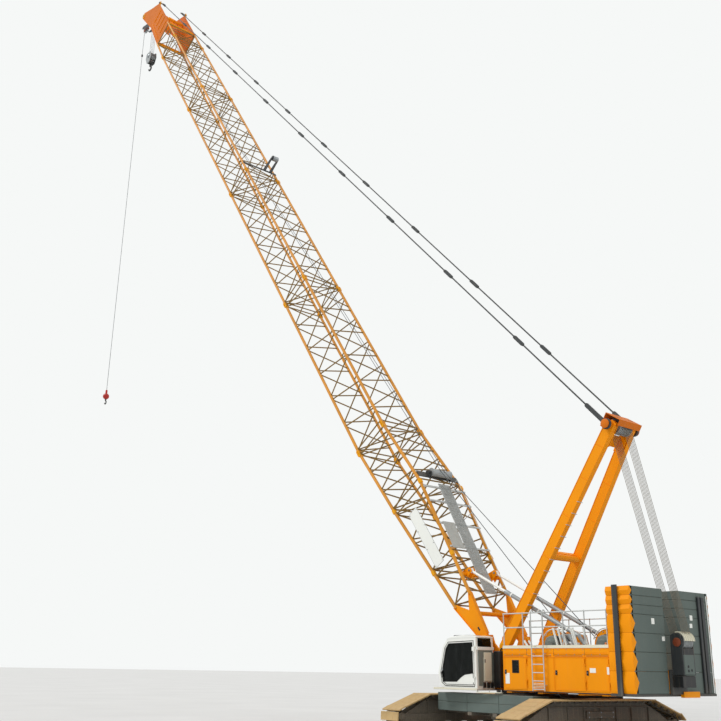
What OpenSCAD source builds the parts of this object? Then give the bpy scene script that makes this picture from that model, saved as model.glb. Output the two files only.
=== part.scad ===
// Lattice-boom crawler crane, modelled at half its real size.
// +X is the way the boom points, +Y is the crane's left side, +Z is up.
// The origin is on the ground, below the middle of the slewing ring.

/* [Undercarriage] */
// Angle that the undercarriage is slewed from the upper machine, in degrees
undercarriage_turn = 82; // [70:1:100]
// Distance between the centre lines of the two tracks
track_gauge = 3560; // [3300:10:3800]
// Width of a track shoe
shoe_w = 610; // [450:10:650]
// Length of a track over its ends
track_len = 4200; // [4100:10:5200]
// Height of the raised top run of a track
track_h = 620; // [600:5:660]
// Length of the level stretch of the top run
track_top_len = 2500; // [1800:10:2800]
// Radius of the track round its end wheels
track_end_r = 185; // [170:5:230]
// Radius of the bends at the ends of the level top run
track_bend_r = 180; // [140:5:220]
// Thickness of the chain band under the shoes
band_t = 34; // [24:1:44]
// Thickness of a shoe plate
shoe_t = 26; // [16:1:34]
// Number of shoes on one track
shoe_count = 51; // [44:1:56]
// Gap between neighbouring shoes
shoe_gap = 12; // [6:1:20]
// Gap between two slabs or layers that lie against each other
slab_gap = 0.5; // [0.3:0.1:0.9]

/* [Track frames] */
// Thickness of the web box of a track frame
frame_box_w = 260; // [200:10:320]
// Thickness of the cheek plates at the end wheels
cheek_t = 36; // [24:2:50]
// Radius of the end wheels' axles
end_axle_r = 48; // [35:1:60]
// Number of bottom rollers in one track
roller_count = 9; // [7:1:10]
// Radius of a bottom roller
roller_r = 78; // [60:2:90]
// Clearance between the wheels and the track band
band_clear = 0.5; // [0.3:0.1:0.9]

/* [Carbody] */
// Length of the central box along the tracks
carbody_len = 1500; // [1400:10:1900]
// Width of the central box across the tracks
carbody_w = 1500; // [1300:10:1700]
// Height of the underside of the carbody above the ground
carbody_z = 240; // [200:5:300]
// Height of the carbody's top plate above the ground
carbody_top = 600; // [560:5:620]
// Width of an axle beam
axle_beam_w = 420; // [320:10:520]
// Distance of the axle beams from the middle
axle_beam_x = 520; // [480:10:620]
// Radius of the slewing ring
slew_ring_r = 640; // [560:10:700]
// Height of each half of the slewing ring
slew_ring_h = 58; // [40:1:59]
// Depth of a ballast slab on the carbody
car_slab_l = 400; // [350:10:600]
// Height of a ballast slab on the carbody
car_slab_h = 168; // [120:2:190]
// Number of ballast slabs across one end of the carbody
car_slab_count = 3; // [2:1:4]
// Number of ballast layers
car_slab_layers = 2; // [1:1:2]

/* [Upper frame] */
// Height of the upper machine's underside above the ground
upper_z = 720; // [720:1:740]
// Height of the walkway deck above the ground
deck_z = 1500; // [1400:10:1600]
// Distance from the machine's centre line to a house side
house_y = 1200; // [1120:10:1260]
// Distance from the centre line to the inner wall of a house
house_in_y = 700; // [690:5:760]
// Front end of the left house
house_left_x = -450; // [-520:10:-420]
// Front end of the right house
house_right_x = 900; // [600:10:1100]
// Rear end of both houses
house_rear_x = -2850; // [-2860:5:-2750]
// Front edge of the foremost side door
door_front_x = -462; // [-500:2:-460]
// Edge between the first door and the fixed panel
door_edge_1 = -1025; // [-1060:5:-990]
// Edge between the fixed panel and the third bay
door_edge_2 = -1655; // [-1700:5:-1600]
// Edge between the third and the fourth bay
door_edge_3 = -2335; // [-2400:5:-2280]
// Wall thickness of the houses
house_t = 14; // [8:1:20]
// Distance of the main girders from the centre line
girder_y = 520; // [500:5:540]
// Thickness of a girder plate
girder_t = 40; // [28:2:48]
// Height of the girders' top edge
girder_top = 1240; // [1150:10:1300]
// Rear end of the girders, in front of the slabs
girder_rear_x = -2860; // [-2864:2:-2850]
// Front end of the girders
girder_front_x = 820; // [780:10:900]

/* [Boom] */
// Angle of the boom above the horizontal
boom_angle = 55; // [45:0.1:65]
// Boom foot pin, distance in front of the slewing axis
boom_pin_x = 510; // [480:5:560]
// Boom foot pin, height above the ground
boom_pin_z = 1668; // [1640:4:1720]
// Radius of the boom foot pin
boom_pin_r = 45; // [36:1:52]
// Distance between the chords across the boom
boom_w = 1250; // [1230:10:1270]
// Distance between the chords through the boom's depth
boom_d = 1050; // [1000:10:1100]
// Distance of the boom's centre plane in front of its foot pin
boom_drop = 250; // [200:10:280]
// Diameter of a chord tube
chord_dia = 76; // [64:2:86]
// Diameter of a lacing tube
lace_dia = 34; // [26:1:40]
// Length of the foot section
foot_len = 6000; // [5800:50:6200]
// Distance along the boom to the bend in the foot section's chords
foot_bend_s = 3900; // [3700:50:4100]
// Distance between the chords across the boom at that bend
foot_bend_w = 1310; // [1270:10:1350]
// Distance of the upper chords behind the boom foot pin's axis at that bend
foot_bend_n = 465; // [420:5:500]
// Length of each of the three long inserts
insert_len = 6000; // [5600:50:6200]
// Length of the short top insert
top_insert_len = 4500; // [4200:50:4800]
// Length of the head section up to the main sheaves' axle
head_len = 4000; // [3900:50:4200]
// Spacing of the lacing nodes along a chord
lace_pitch = 1000; // [900:50:1300]
// Gap between two sections at their joint
joint_gap = 0.3; // [0.2:0.1:0.4]
// Head sheaves' axle, distance in front of the boom foot pin's axis
head_axle_drop = 700; // [640:10:760]
// Radius of the head sheaves
head_sheave_r = 200; // [170:5:220]
// Width of one sheave
sheave_w = 44; // [34:2:50]

/* [Mast and stays] */
// Mast foot pin, distance from the slewing axis
mast_pin_x = 50; // [20:5:80]
// Mast foot pin, height above the ground
mast_pin_z = 1525; // [1500:5:1560]
// Mast head axle, distance behind the slewing axis
mast_head_x = -2575; // [-2700:25:-2450]
// Mast head axle, height above the ground
mast_head_z = 5600; // [5450:25:5700]
// Distance of the mast legs from the centre line at the foot
mast_foot_y = 575; // [572:1:585]
// Distance of the mast legs from the centre line at the head
mast_head_y = 300; // [260:5:340]
// Width of a mast leg seen from the side
mast_leg_w = 200; // [160:5:220]
// Thickness of a mast leg across the machine
mast_leg_t = 110; // [90:5:120]
// Distance of each pendant line from the centre line
pendant_y = 450; // [430:5:470]
// Diameter of a pendant rod
pendant_dia = 34; // [24:2:44]
// Number of rods in one pendant line
pendant_rods = 5; // [4:1:6]
// Backstop foot pin, distance from the slewing axis
stop_foot_x = -1685; // [-1750:5:-1600]
// Backstop foot pin, height above the ground
stop_foot_z = 1685; // [1640:5:1720]
// Backstop eye, distance along the boom from its foot pin
stop_eye_s = 1500; // [1450:10:1600]
// Backstop eye, distance behind the boom foot pin's axis
stop_eye_n = 330; // [300:5:360]
// Distance of each backstop from the centre line
stop_y = 390; // [370:5:410]
// Outer diameter of a backstop tube
stop_tube_dia = 96; // [80:2:110]
// Diameter of a backstop rod
stop_rod_dia = 60; // [50:2:66]

/* [Counterweight] */
// Distance from the centre line to a stack's outer side
stack_y = 1250; // [1200:10:1300]
// Distance from the centre line to a stack's inner side
stack_in_y = 240; // [220:5:300]
// Front face of the slabs
stack_front_x = -2870; // [-2880:5:-2865]
// Rear face of the slabs
stack_rear_x = -3350; // [-3420:5:-3300]
// Height of the bottom slab
slab_base_h = 360; // [300:5:380]
// Height of a thick slab
slab_thick_h = 308; // [280:2:320]
// Number of thick slabs in a stack
slab_thick_count = 3; // [2:1:3]
// Height of a thin slab
slab_thin_h = 154; // [120:2:160]
// Number of thin slabs in a stack
slab_thin_count = 3; // [1:1:3]
// Thickness of the tray under the stacks
tray_t = 40; // [20:5:60]

/* [Cab] */
// Outer side of the cab, distance from the centre line
cab_y = 1200; // [1180:5:1230]
// Width of the cab
cab_w = 490; // [460:5:500]
// Wall thickness of the cab
cab_t = 32; // [24:1:40]
// Clearance round the cab door
door_gap = 6; // [5:1:9]

/* [Hooks] */
// Drop from the head sheaves' axle to the hook block's sheave axle
hook_drop = 1700; // [1500:20:2400]
// Drop from the whip sheave's axle to the hook ball
ball_drop = 17000; // [9000:100:17400]
// Diameter of the hoist ropes
rope_dia = 16; // [12:1:22]

/* [Hidden] */

crane_orange = [0.95, 0.6, 0.07];
slab_grey = [0.3, 0.34, 0.33];
rail_grey = [0.78, 0.8, 0.8];
cab_white = [0.93, 0.93, 0.92];
shoe_tan = [0.68, 0.55, 0.36];
dark_steel = [0.2, 0.21, 0.22];

bar_sides = 6;
chord_sides = 12;
pin_clear = 0.5;
// Room between a moving piece and what stands beside it
moving_gap = 6;

boom_len = foot_len + 3 * insert_len + top_insert_len + head_len;
// Lower and upper chord planes, measured from the boom foot pin's axis
low_n = -boom_d / 2 - boom_drop;
high_n = boom_d / 2 - boom_drop;
head_n = -head_axle_drop;

// A point between a and b, t of the way along
function mix(a, b, t) = a + (b - a) * t;

// A round bar or tube from a to b, drawn with a few flat sides; spin turns the flats about its axis
module bar(a, b, d, sides = bar_sides, spin = 11) {
    v = b - a;
    translate(a) rotate([0, acos(v.z / norm(v)), atan2(v.y, v.x)]) rotate([0, 0, spin])
        cylinder(h = norm(v), d = d, $fn = sides);
}

// A cylinder along Y, centred on y
module y_rod(x, z, r, w, y = 0) {
    translate([x, y + w / 2, z]) rotate([90, 0, 0]) cylinder(h = w, r = r, $fn = 48);
}

// A plate in the XZ plane, centred on y
module y_plate(points, t, y = 0) {
    translate([0, y + t / 2, 0]) rotate([90, 0, 0]) linear_extrude(t) polygon(points);
}

module both_sides() {
    children();
    mirror([0, 1, 0]) children();
}

// A convex outline moved inwards by t, for points given anticlockwise
function inset(p, t) = [for (i = [0:len(p) - 1])
    let (a = p[(i + len(p) - 1) % len(p)], b = p[i], c = p[(i + 1) % len(p)],
        u = (b - a) / norm(b - a), v = (c - b) / norm(c - b),
        nu = [-u.y, u.x], nv = [-v.y, v.x])
    b + (nu + nv) * t / (1 + nu * nv)];

// Track loop: the belt round four circles, given as [x, z, radius]
path_r = track_end_r - shoe_t;
end_x = track_len / 2 - track_end_r;
loop_circles = [
    [end_x, track_end_r, path_r],
    [track_top_len / 2, track_h - track_bend_r, track_bend_r - shoe_t],
    [-track_top_len / 2, track_h - track_bend_r, track_bend_r - shoe_t],
    [-end_x, track_end_r, path_r]];
// Outward direction of the straight run from circle i to the next
function run_angle(i) =
    let (a = loop_circles[i], b = loop_circles[(i + 1) % 4], d = [b.x - a.x, b.y - a.y])
    atan2(d.y, d.x) - acos((a.z - b.z) / norm(d));
function arc_start(i) = run_angle((i + 3) % 4);
function arc_sweep(i) = let (s = run_angle(i) - arc_start(i)) s < 0 ? s + 360 : s > 360 ? s - 360 : s;
function arc_len(i) = arc_sweep(i) * PI / 180 * loop_circles[i].z;
function run_len(i) =
    let (a = loop_circles[i], b = loop_circles[(i + 1) % 4], d = [b.x - a.x, b.y - a.y])
    sqrt(d * d - (a.z - b.z) * (a.z - b.z));
loop_len = arc_len(0) + run_len(0) + arc_len(1) + run_len(1) + arc_len(2) + run_len(2) + arc_len(3)
    + run_len(3);
// Place on the loop at distance s: [x, z, outward angle]
function loop_at(s, i = 0) =
    s <= arc_len(i) ? let (c = loop_circles[i], a = arc_start(i) + s / loop_circles[i].z * 180 / PI)
        [c.x + c.z * cos(a), c.y + c.z * sin(a), a]
    : s <= arc_len(i) + run_len(i) ? let (c = loop_circles[i], a = run_angle(i), u = s - arc_len(i))
        [c.x + c.z * cos(a) - u * sin(a), c.y + c.z * sin(a) + u * cos(a), a]
    : loop_at(s - arc_len(i) - run_len(i), (i + 1) % 4);
shoe_pitch = loop_len / shoe_count;
// One shoe's outline on the loop, going round anticlockwise
function shoe_points(k) =
    let (p = loop_at((k + 0.5) * shoe_pitch), n = [cos(p.z), sin(p.z)], t = [-sin(p.z), cos(p.z)],
        h = (shoe_pitch - shoe_gap) / 2, m = [p.x, p.y])
    [m - t * h, m - t * h + n * shoe_t, m + t * h + n * shoe_t, m + t * h];
// The inside of the band
band_steps = 8;
band_inside = [for (i = [0:3], k = [0:band_steps])
    let (c = loop_circles[i], a = arc_start(i) + arc_sweep(i) * k / band_steps)
    [c.x + (c.z - band_t) * cos(a), c.y + (c.z - band_t) * sin(a)]];

module track_loop() {
    color(shoe_tan) difference() {
        y_plate([for (k = [0:shoe_count - 1], q = shoe_points(k)) q], shoe_w);
        y_plate(band_inside, shoe_w + 2);
    }
}

module undercarriage_place() {
    rotate([0, 0, undercarriage_turn]) children();
}

module at_near_track() { undercarriage_place() translate([0, track_gauge / 2, 0]) children(); }
module at_far_track() { undercarriage_place() translate([0, -track_gauge / 2, 0]) children(); }
module track_near() { at_near_track() track_loop(); }
module track_far() { at_far_track() track_loop(); }

// The band's inside is drawn with flats, so the wheels stay inside them
wheel_r = (path_r - band_t) * cos(arc_sweep(0) / band_steps / 2) - band_clear;
roller_z = shoe_t + band_t + roller_r + band_clear;
roller_span = 2 * end_x - 2 * wheel_r - 2 * roller_r - 60;
frame_z = roller_z + roller_r * 0.35;
frame_top = track_h - shoe_t - band_t - band_clear;
cheek_y = frame_box_w / 2 + cheek_t / 2;
frame_front = end_x - wheel_r - 25;

module track_frame() {
    // The box between the wheels, and the cheek plates that carry their axles
    box_points = [[-frame_front, frame_z], [frame_front, frame_z], [frame_front,
        track_end_r + wheel_r * 0.55],
        [track_top_len / 2 + 60, frame_top - 60], [track_top_len / 2 - 120, frame_top],
        [-track_top_len / 2 + 120, frame_top], [-track_top_len / 2 - 60, frame_top - 60],
        [-frame_front, track_end_r + wheel_r * 0.55]];
    cheek_points = [[-end_x - 80, roller_z + 55], [-end_x + 40, roller_z - 50], [end_x - 40, roller_z - 50],
        [end_x + 80, roller_z + 55], [end_x + 80, track_end_r + 80], [frame_front,
            track_end_r + wheel_r * 0.45],
        [-frame_front, track_end_r + wheel_r * 0.45], [-end_x - 80, track_end_r + 80]];
    color(dark_steel) difference() {
        union() {
            y_plate(box_points, frame_box_w);
            for (side = [-1, 1]) y_plate(cheek_points, cheek_t, side * cheek_y);
        }
        for (end = [-1, 1]) y_rod(end * end_x, track_end_r, end_axle_r + pin_clear,
            frame_box_w + 3 * cheek_t);
        // Room for the rollers inside the box's lower edge
        for (k = [0:roller_count - 1])
            y_rod(roller_x(k), roller_z, roller_r + 8, frame_box_w - 0.2);
    }
}
function roller_x(k) = -roller_span / 2 + roller_span * k / (roller_count - 1);

module track_frames() {
    at_near_track() track_frame();
    at_far_track() track_frame();
}

module wheel_set() {
    color(dark_steel) {
        for (end = [-1, 1]) {
            y_rod(end * end_x, track_end_r, wheel_r, frame_box_w - 12);
            y_rod(end * end_x, track_end_r, end_axle_r, frame_box_w + 2 * cheek_t + 24);
        }
        for (k = [0:roller_count - 1]) y_rod(roller_x(k), roller_z, roller_r, frame_box_w - 0.8);
    }
}
module track_wheels() {
    at_near_track() wheel_set();
    at_far_track() wheel_set();
}

beam_reach = track_gauge / 2 - frame_box_w / 2 - cheek_t - slab_gap;
module carbody() {
    undercarriage_place() color(dark_steel) difference() {
        union() {
            cut = carbody_w * 0.22;
            translate([0, 0, carbody_z]) linear_extrude(carbody_top - carbody_z) polygon([
                [-carbody_len / 2 + cut, -carbody_w / 2], [carbody_len / 2 - cut, -carbody_w / 2],
                [carbody_len / 2, -carbody_w / 2 + cut], [carbody_len / 2, carbody_w / 2 - cut],
                [carbody_len / 2 - cut, carbody_w / 2], [-carbody_len / 2 + cut, carbody_w / 2],
                [-carbody_len / 2, carbody_w / 2 - cut], [-carbody_len / 2, -carbody_w / 2 + cut]]);
            for (x = [-1, 1]) translate([x * axle_beam_x - axle_beam_w / 2, -beam_reach, carbody_z + 20])
                cube([axle_beam_w, 2 * beam_reach, carbody_top - carbody_z - 60]);
            // Seats that carry the ballast slabs at both ends
            for (x = [-1, 1], y = [-1, 1])
                translate([x * (carbody_len / 2 + car_slab_l / 2) - car_slab_l / 2 - 20,
                    y * carbody_w / 4 - 60,
                    car_ballast_z - 60 - slab_gap]) cube([car_slab_l + 40, 120, 60]);
            translate([0, 0, carbody_top]) cylinder(h = slew_ring_h, r = slew_ring_r, $fn = 96);
            // Towing lugs
            for (x = [-1, 1]) translate([x * (carbody_len / 2 + 55) - 75, -75, carbody_z + 10 - tow_lug_t])
                cube([150, 150, tow_lug_t]);
        }
        for (x = [-1, 1]) translate([x * (carbody_len / 2 + 85), 0, carbody_z + 8 - tow_lug_t])
            cylinder(h = tow_lug_t + 4, r = tow_bore_r, $fn = 48);
    }
}
tow_lug_t = 50;
tow_bore_r = 22;
car_ballast_z = carbody_top + slew_ring_h - car_slab_layers * (car_slab_h + slab_gap);

module car_ballast() {
    width = track_gauge - shoe_w - 100;
    step = width / car_slab_count;
    undercarriage_place() color(slab_grey)
        for (x = [-1, 1], layer = [0:car_slab_layers - 1], k = [0:car_slab_count - 1])
            translate([x * (carbody_len / 2 + slab_gap + car_slab_l / 2) - car_slab_l / 2,
                -width / 2 + k * step + slab_gap / 2, car_ballast_z + layer * (car_slab_h + slab_gap)])
            cube([car_slab_l, step - slab_gap, car_slab_h]);
}

// Upper machine
ring_gap = 0.5;
module slew_ring() {
    color(dark_steel) translate([0, 0, carbody_top + slew_ring_h + ring_gap]) difference() {
        cylinder(h = upper_z - carbody_top - slew_ring_h - ring_gap, r = slew_ring_r - 30, $fn = 96);
        translate([0, 0, -1]) cylinder(h = upper_z, r = slew_ring_r - 130, $fn = 96);
    }
}

pin_boss_r = 100;
foot_lug_y = 590;
foot_lug_t = 80;
mast_pin_r = 40;
stop_pin_r = 24;
stop_cheek_y = stop_tube_dia / 2 + moving_gap + 10;
tail_y = 225;
tail_rear_x = -3390;
outrigger_z = upper_z - 20;
module main_frame() {
    plate_y = girder_y - girder_t / 2 - 10;
    lug_out = foot_lug_y + foot_lug_t / 2 + 8;
    girder = [[girder_rear_x, upper_z + 40], [-900, upper_z], [girder_front_x, upper_z],
        [girder_front_x, girder_top - 60], [boom_pin_x + pin_boss_r, boom_pin_z],
        [boom_pin_x + 60, boom_pin_z + pin_boss_r], [boom_pin_x - 60, boom_pin_z + pin_boss_r],
        [boom_pin_x - 120, boom_pin_z - 60], [mast_pin_x + 130, mast_pin_z - 120],
        [mast_pin_x + 80, mast_pin_z + 70], [mast_pin_x - 80, mast_pin_z + 70],
        [mast_pin_x - 260, girder_top], [girder_rear_x, girder_top - 60]];
    boom_bracket = [[boom_pin_x - 200, girder_top - 200], [boom_pin_x + 200, girder_top - 200],
        [boom_pin_x + pin_boss_r, boom_pin_z], [boom_pin_x + 60, boom_pin_z + pin_boss_r],
        [boom_pin_x - 60, boom_pin_z + pin_boss_r], [boom_pin_x - pin_boss_r, boom_pin_z]];
    stop_bracket = [[stop_foot_x - 200, girder_top - 120], [stop_foot_x + 200, girder_top - 120],
        [stop_foot_x + 60, stop_foot_z + 50], [stop_foot_x - 60, stop_foot_z + 50]];
    color(crane_orange) {
        both_sides() {
            y_plate(girder, girder_t, plate_y);
            y_plate(boom_bracket, girder_t - 8, lug_out + girder_t / 2 - 4);
            // The plate that ties the outer bracket to the girder
            translate([boom_pin_x - 200, plate_y, girder_top - 240])
                cube([400, lug_out + girder_t - 8 - plate_y, 60]);
            y_rod(boom_pin_x, boom_pin_z, boom_pin_r, lug_out + girder_t + 20 - plate_y,
                (lug_out + girder_t + 20 + plate_y) / 2);
            y_rod(mast_pin_x, mast_pin_z, mast_pin_r, mast_leg_t + 90, mast_foot_y - 15);
            // Brackets for the backstops' feet
            for (cheek = [-1, 1]) y_plate(stop_bracket, 20, stop_y + cheek * stop_cheek_y);
            y_rod(stop_foot_x, stop_foot_z, stop_pin_r, 2 * stop_cheek_y + 44, stop_y);
            translate([stop_foot_x - 200, stop_y - stop_cheek_y - 10, girder_top - 160])
                cube([400, plate_y - stop_y + stop_cheek_y + 10, 50]);
            // Arms that carry the houses
            for (x = [-2700, -2200, -1300, -560]) translate([x - 60, plate_y, outrigger_z])
                cube([120, house_y - 20 - plate_y, 39.5]);
            for (x = [-2700, -2200, -1300]) translate([x - 60, plate_y - 20, outrigger_z]) cube([120, 40,
                90]);
        }
        translate([640, -house_y + 20, outrigger_z]) cube([120, house_y - 20 - plate_y, 39.5]);
        // Cross plates between the girders
        for (x = [-2700, -1550, -450, 400]) translate([x - 25, -plate_y, upper_z + 45])
            cube([50, 2 * plate_y, girder_top - upper_z - 110]);
        translate([-760, -plate_y, upper_z]) cube([1400, 2 * plate_y, 40]);
        // The tail between the counterweight stacks
        translate([tail_rear_x, -tail_y, tail_z]) cube([-2640 - tail_rear_x, 2 * tail_y,
            girder_top - 100 - tail_z]);
    }
}

// Door edges along a house, from the front backwards; the second bay is a fixed panel
door_edges = [door_front_x, door_edge_1, door_edge_2, door_edge_3, house_rear_x + 12];
door_bays = [0, 2, 3];
door_low = upper_z + 40;
door_high = deck_z - 125;
leaf_gap = 6;
hinge_out = 13;
knuckle_r = 8;
hinge_pin_r = 4;
// The fixed half of a hinge: a pin along Z between two leaves that sit on a wall at y
module hinge_post(x, y, z, reach = 20) {
    translate([x, y + hinge_out, z - 60]) cylinder(h = 120, r = hinge_pin_r, $fn = 24);
    for (end = [-60, 40]) {
        translate([x - reach, y - 2, z + end]) cube([reach - 3, hinge_out + 7, 20]);
        translate([x - 6, y + 5, z + end]) cube([11, hinge_out, 20]);
    }
}
// The moving half: a knuckle on the pin, with its leaf on the door
module hinge_knuckle(x, y, z, reach = 24) {
    difference() {
        union() {
            translate([x, y + hinge_out, z - 38]) cylinder(h = 76, r = knuckle_r, $fn = 24);
            translate([x, y + hinge_out - 5, z - 38]) cube([reach, 10, 76]);
            translate([x + reach - 12, y - 2, z - 38]) cube([12, hinge_out + 2, 76]);
        }
        translate([x, y + hinge_out, z - 39]) cylinder(h = 78, r = hinge_pin_r + pin_clear, $fn = 24);
    }
}
module house_shell(x0, x1) {
    // A sheet-metal housing, open underneath, with its doorways and hinges
    for (k = door_bays, z = [door_low + 120, door_high - 120]) hinge_post(door_edges[k + 1] + 9, house_y, z);
    difference() {
        translate([x0, house_in_y, upper_z + 20]) cube([x1 - x0, house_y - house_in_y,
            deck_z - upper_z - 20]);
        translate([x0 + house_t, house_in_y + house_t, upper_z])
            cube([x1 - x0 - 2 * house_t, house_y - house_in_y - 2 * house_t, deck_z - upper_z - house_t]);
        for (k = door_bays) translate([door_edges[k + 1] + leaf_gap, house_y - 2 * house_t, door_low])
            cube([door_edges[k] - door_edges[k + 1] - 2 * leaf_gap, 3 * house_t, door_high - door_low]);
        translate([door_edges[2] + 6, house_y - 4, door_low]) cube([6, 10, door_high - door_low]);
        translate([x0 + 40, house_y - 5, door_high + 14]) cube([x1 - x0 - 80, 12, 14]);
    }
}
module house_left() { color(crane_orange) house_shell(house_rear_x, house_left_x); }
module house_right() { color(crane_orange) mirror([0, 1, 0]) house_shell(house_rear_x, house_right_x); }
module house_leaf(k) {
    // One side door, hinged at its rear edge, with its latch near the front edge
    color(crane_orange) {
        translate([door_edges[k + 1] + 2 * leaf_gap, house_y - house_t, door_low + leaf_gap])
            cube([door_edges[k] - door_edges[k + 1] - 4 * leaf_gap, house_t,
                door_high - door_low - 2 * leaf_gap]);
        y_rod(door_edges[k] - 40, (door_low + door_high) / 2, 13, 24, house_y + 4);
        for (z = [door_low + 120, door_high - 120]) hinge_knuckle(door_edges[k + 1] + 9, house_y, z);
    }
}
module door_left_front() { house_leaf(0); }
module door_left_middle() { house_leaf(2); }
module door_left_rear() { house_leaf(3); }
module door_right_front() { mirror([0, 1, 0]) house_leaf(0); }
module door_right_middle() { mirror([0, 1, 0]) house_leaf(2); }
module door_right_rear() { mirror([0, 1, 0]) house_leaf(3); }
module engine() {
    // The engine on the right and the oil tank on the left, as plain blocks
    color(dark_steel) {
        translate([-2300, -house_y + 60, upper_z + 20]) cube([1100, 360, 560]);
        translate([-2300, house_y - 380, upper_z + 20]) cube([1100, 300, 480]);
    }
}

deck_t = 14;
module deck() {
    color(rail_grey) {
        translate([house_rear_x, house_in_y - 60, deck_z + slab_gap])
            cube([house_left_x - house_rear_x, house_y - house_in_y + 60, deck_t]);
        translate([house_rear_x, -house_y, deck_z + slab_gap])
            cube([house_right_x - house_rear_x, house_y - house_in_y + 20, deck_t]);
        // The cab's platform and its arm
        translate([180, girder_y + 170, upper_z - 1.5]) cube([1180, cab_y + 60 - girder_y - 170, 16]);
        translate([200, girder_y - 10 + slab_gap, upper_z + slab_gap]) cube([260, 190, 14]);
    }
}

rail_h = 610;
rail_dia = 22;
rail_y = house_y - 20;
module rail_run(x0, x1, posts) {
    z0 = deck_z + slab_gap + deck_t + slab_gap;
    for (k = [0:posts - 1]) {
        x = x0 + (x1 - x0) * k / (posts - 1);
        bar([x, rail_y, z0], [x, rail_y, z0 + rail_h], rail_dia, 8);
    }
    for (h = [rail_h, rail_h * 0.58]) bar([x0, rail_y, z0 + h - rail_dia / 2], [x1, rail_y,
        z0 + h - rail_dia / 2],
        rail_dia, 8);
}
module handrails() {
    color(rail_grey) {
        rail_run(house_rear_x + 30, house_left_x - 20, 6);
        mirror([0, 1, 0]) rail_run(house_rear_x + 30, house_right_x - 20, 8);
    }
}

ladder_x = -1335;
ladder_w = 270;
ladder_off = 60;
module ladder() {
    z0 = upper_z + 25;
    top = deck_z + deck_t + rail_h;
    y = house_y + ladder_off;
    color(rail_grey) {
        for (x = [-1, 1]) {
            bar([ladder_x + x * ladder_w / 2, y, z0], [ladder_x + x * ladder_w / 2, y, top], 22, 8);
            for (z = [upper_z + 120, deck_z - 120])
                translate([ladder_x + x * ladder_w / 2 - 8, house_y + slab_gap, z]) cube([16, ladder_off,
                    16]);
        }
        for (k = [0:8]) bar([ladder_x - ladder_w / 2, y, z0 + 30 + k * 95], [ladder_x + ladder_w / 2, y,
            z0 + 30 + k * 95], 16, 8);
    }
}

drum_r = 190;
drum_flange_r = 280;
drum_w = 560;
drum_z = 1560;
drum_front_x = -950;
drum_rear_x = -2150;
drum_shaft_r = 40;
module winch_bed(x) {
    inner = drum_w / 2 + 22;
    for (side = [-1, 1]) y_plate([[x - 260, girder_top - 200], [x + 260, girder_top - 200], [x + 90,
        drum_z + 60],
        [x - 90, drum_z + 60]], 36, side * (inner + 18));
    both_sides() translate([x - 260, inner, girder_top - 240])
        cube([520, girder_y - girder_t - 10 - slab_gap - inner, 40]);
}
module winch_beds() {
    color(cab_white) difference() {
        for (x = [drum_front_x, drum_rear_x]) winch_bed(x);
        for (x = [drum_front_x, drum_rear_x]) y_rod(x, drum_z, drum_shaft_r + pin_clear, drum_w + 300);
    }
}
module hoist_drum(x) {
    color(crane_orange) {
        y_rod(x, drum_z, drum_r, drum_w - 12);
        for (side = [-1, 1]) y_rod(x, drum_z, drum_flange_r, 24, side * (drum_w / 2 - 20));
        y_rod(x, drum_z, drum_shaft_r, drum_w + 130);
    }
}
module hoist_drum_front() { hoist_drum(drum_front_x); }
module hoist_drum_rear() { hoist_drum(drum_rear_x); }

// Counterweight
tray_z = upper_z - 10;
tail_z = tray_z + tray_t + slab_gap;
stack_z = tray_z + tray_t + slab_gap;
slab_heights = concat([slab_base_h], [for (k = [1:slab_thick_count]) slab_thick_h],
    [for (k = [1:slab_thin_count]) slab_thin_h]);
function stack_to(k) = k == 0 ? stack_z : stack_to(k - 1) + slab_heights[k - 1] + slab_gap;
stack_top = stack_to(len(slab_heights));
post_w = 100;
post_x = stack_front_x - 160 - post_w / 2;
module counterweight_tray() {
    color(dark_steel) {
        translate([stack_rear_x, -stack_y, tray_z]) cube([stack_front_x - stack_rear_x, 2 * stack_y, tray_t]);
        // Guide posts on the outer sides
        both_sides() translate([post_x - post_w / 2, stack_y + slab_gap, tray_z])
            cube([post_w, 30, stack_top - tray_z + 20]);
        both_sides() translate([post_x - post_w / 2, stack_y - 20, tray_z]) cube([post_w, 40, tray_t]);
    }
}
module slab_stack() {
    // Each slab's outer end is shaped, with its edges drawn in at top and bottom
    bulge = 26;
    color(slab_grey) for (k = [0:len(slab_heights) - 1])
        translate([stack_front_x, 0, stack_to(k)]) rotate([90, 0,
            -90]) linear_extrude(stack_front_x - stack_rear_x)
            polygon([[-stack_in_y, 0], [-stack_in_y, slab_heights[k]], [-stack_y + bulge, slab_heights[k]],
                [-stack_y, slab_heights[k] * 0.5], [-stack_y + bulge, 0]]);
}
module counterweight_left() { slab_stack(); }
module counterweight_right() { mirror([0, 1, 0]) slab_stack(); }

luff_block_x = -3530;
luff_block_z = 1600;
module luffing_block() {
    // The lower sheave block of the luffing tackle, hung behind the stacks on the frame's tail
    color(rail_grey) {
        both_sides() y_plate([[luff_block_x - 90, 1060], [tail_rear_x - slab_gap, 1060],
            [tail_rear_x - slab_gap, 1140], [luff_block_x + 130, luff_block_z + 120],
            [luff_block_x - 90, luff_block_z + 140]], 24, 170);
        translate([tail_rear_x - slab_gap - 30, -200, 900]) cube([30, 400, 240]);
        translate([luff_block_x - 90, -170, 1060]) cube([60, 340, 60]);
        y_rod(luff_block_x, luff_block_z, 34, 370);
        for (k = [-3:3]) y_rod(luff_block_x, luff_block_z, 118, 26, k * 40);
    }
}

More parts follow.
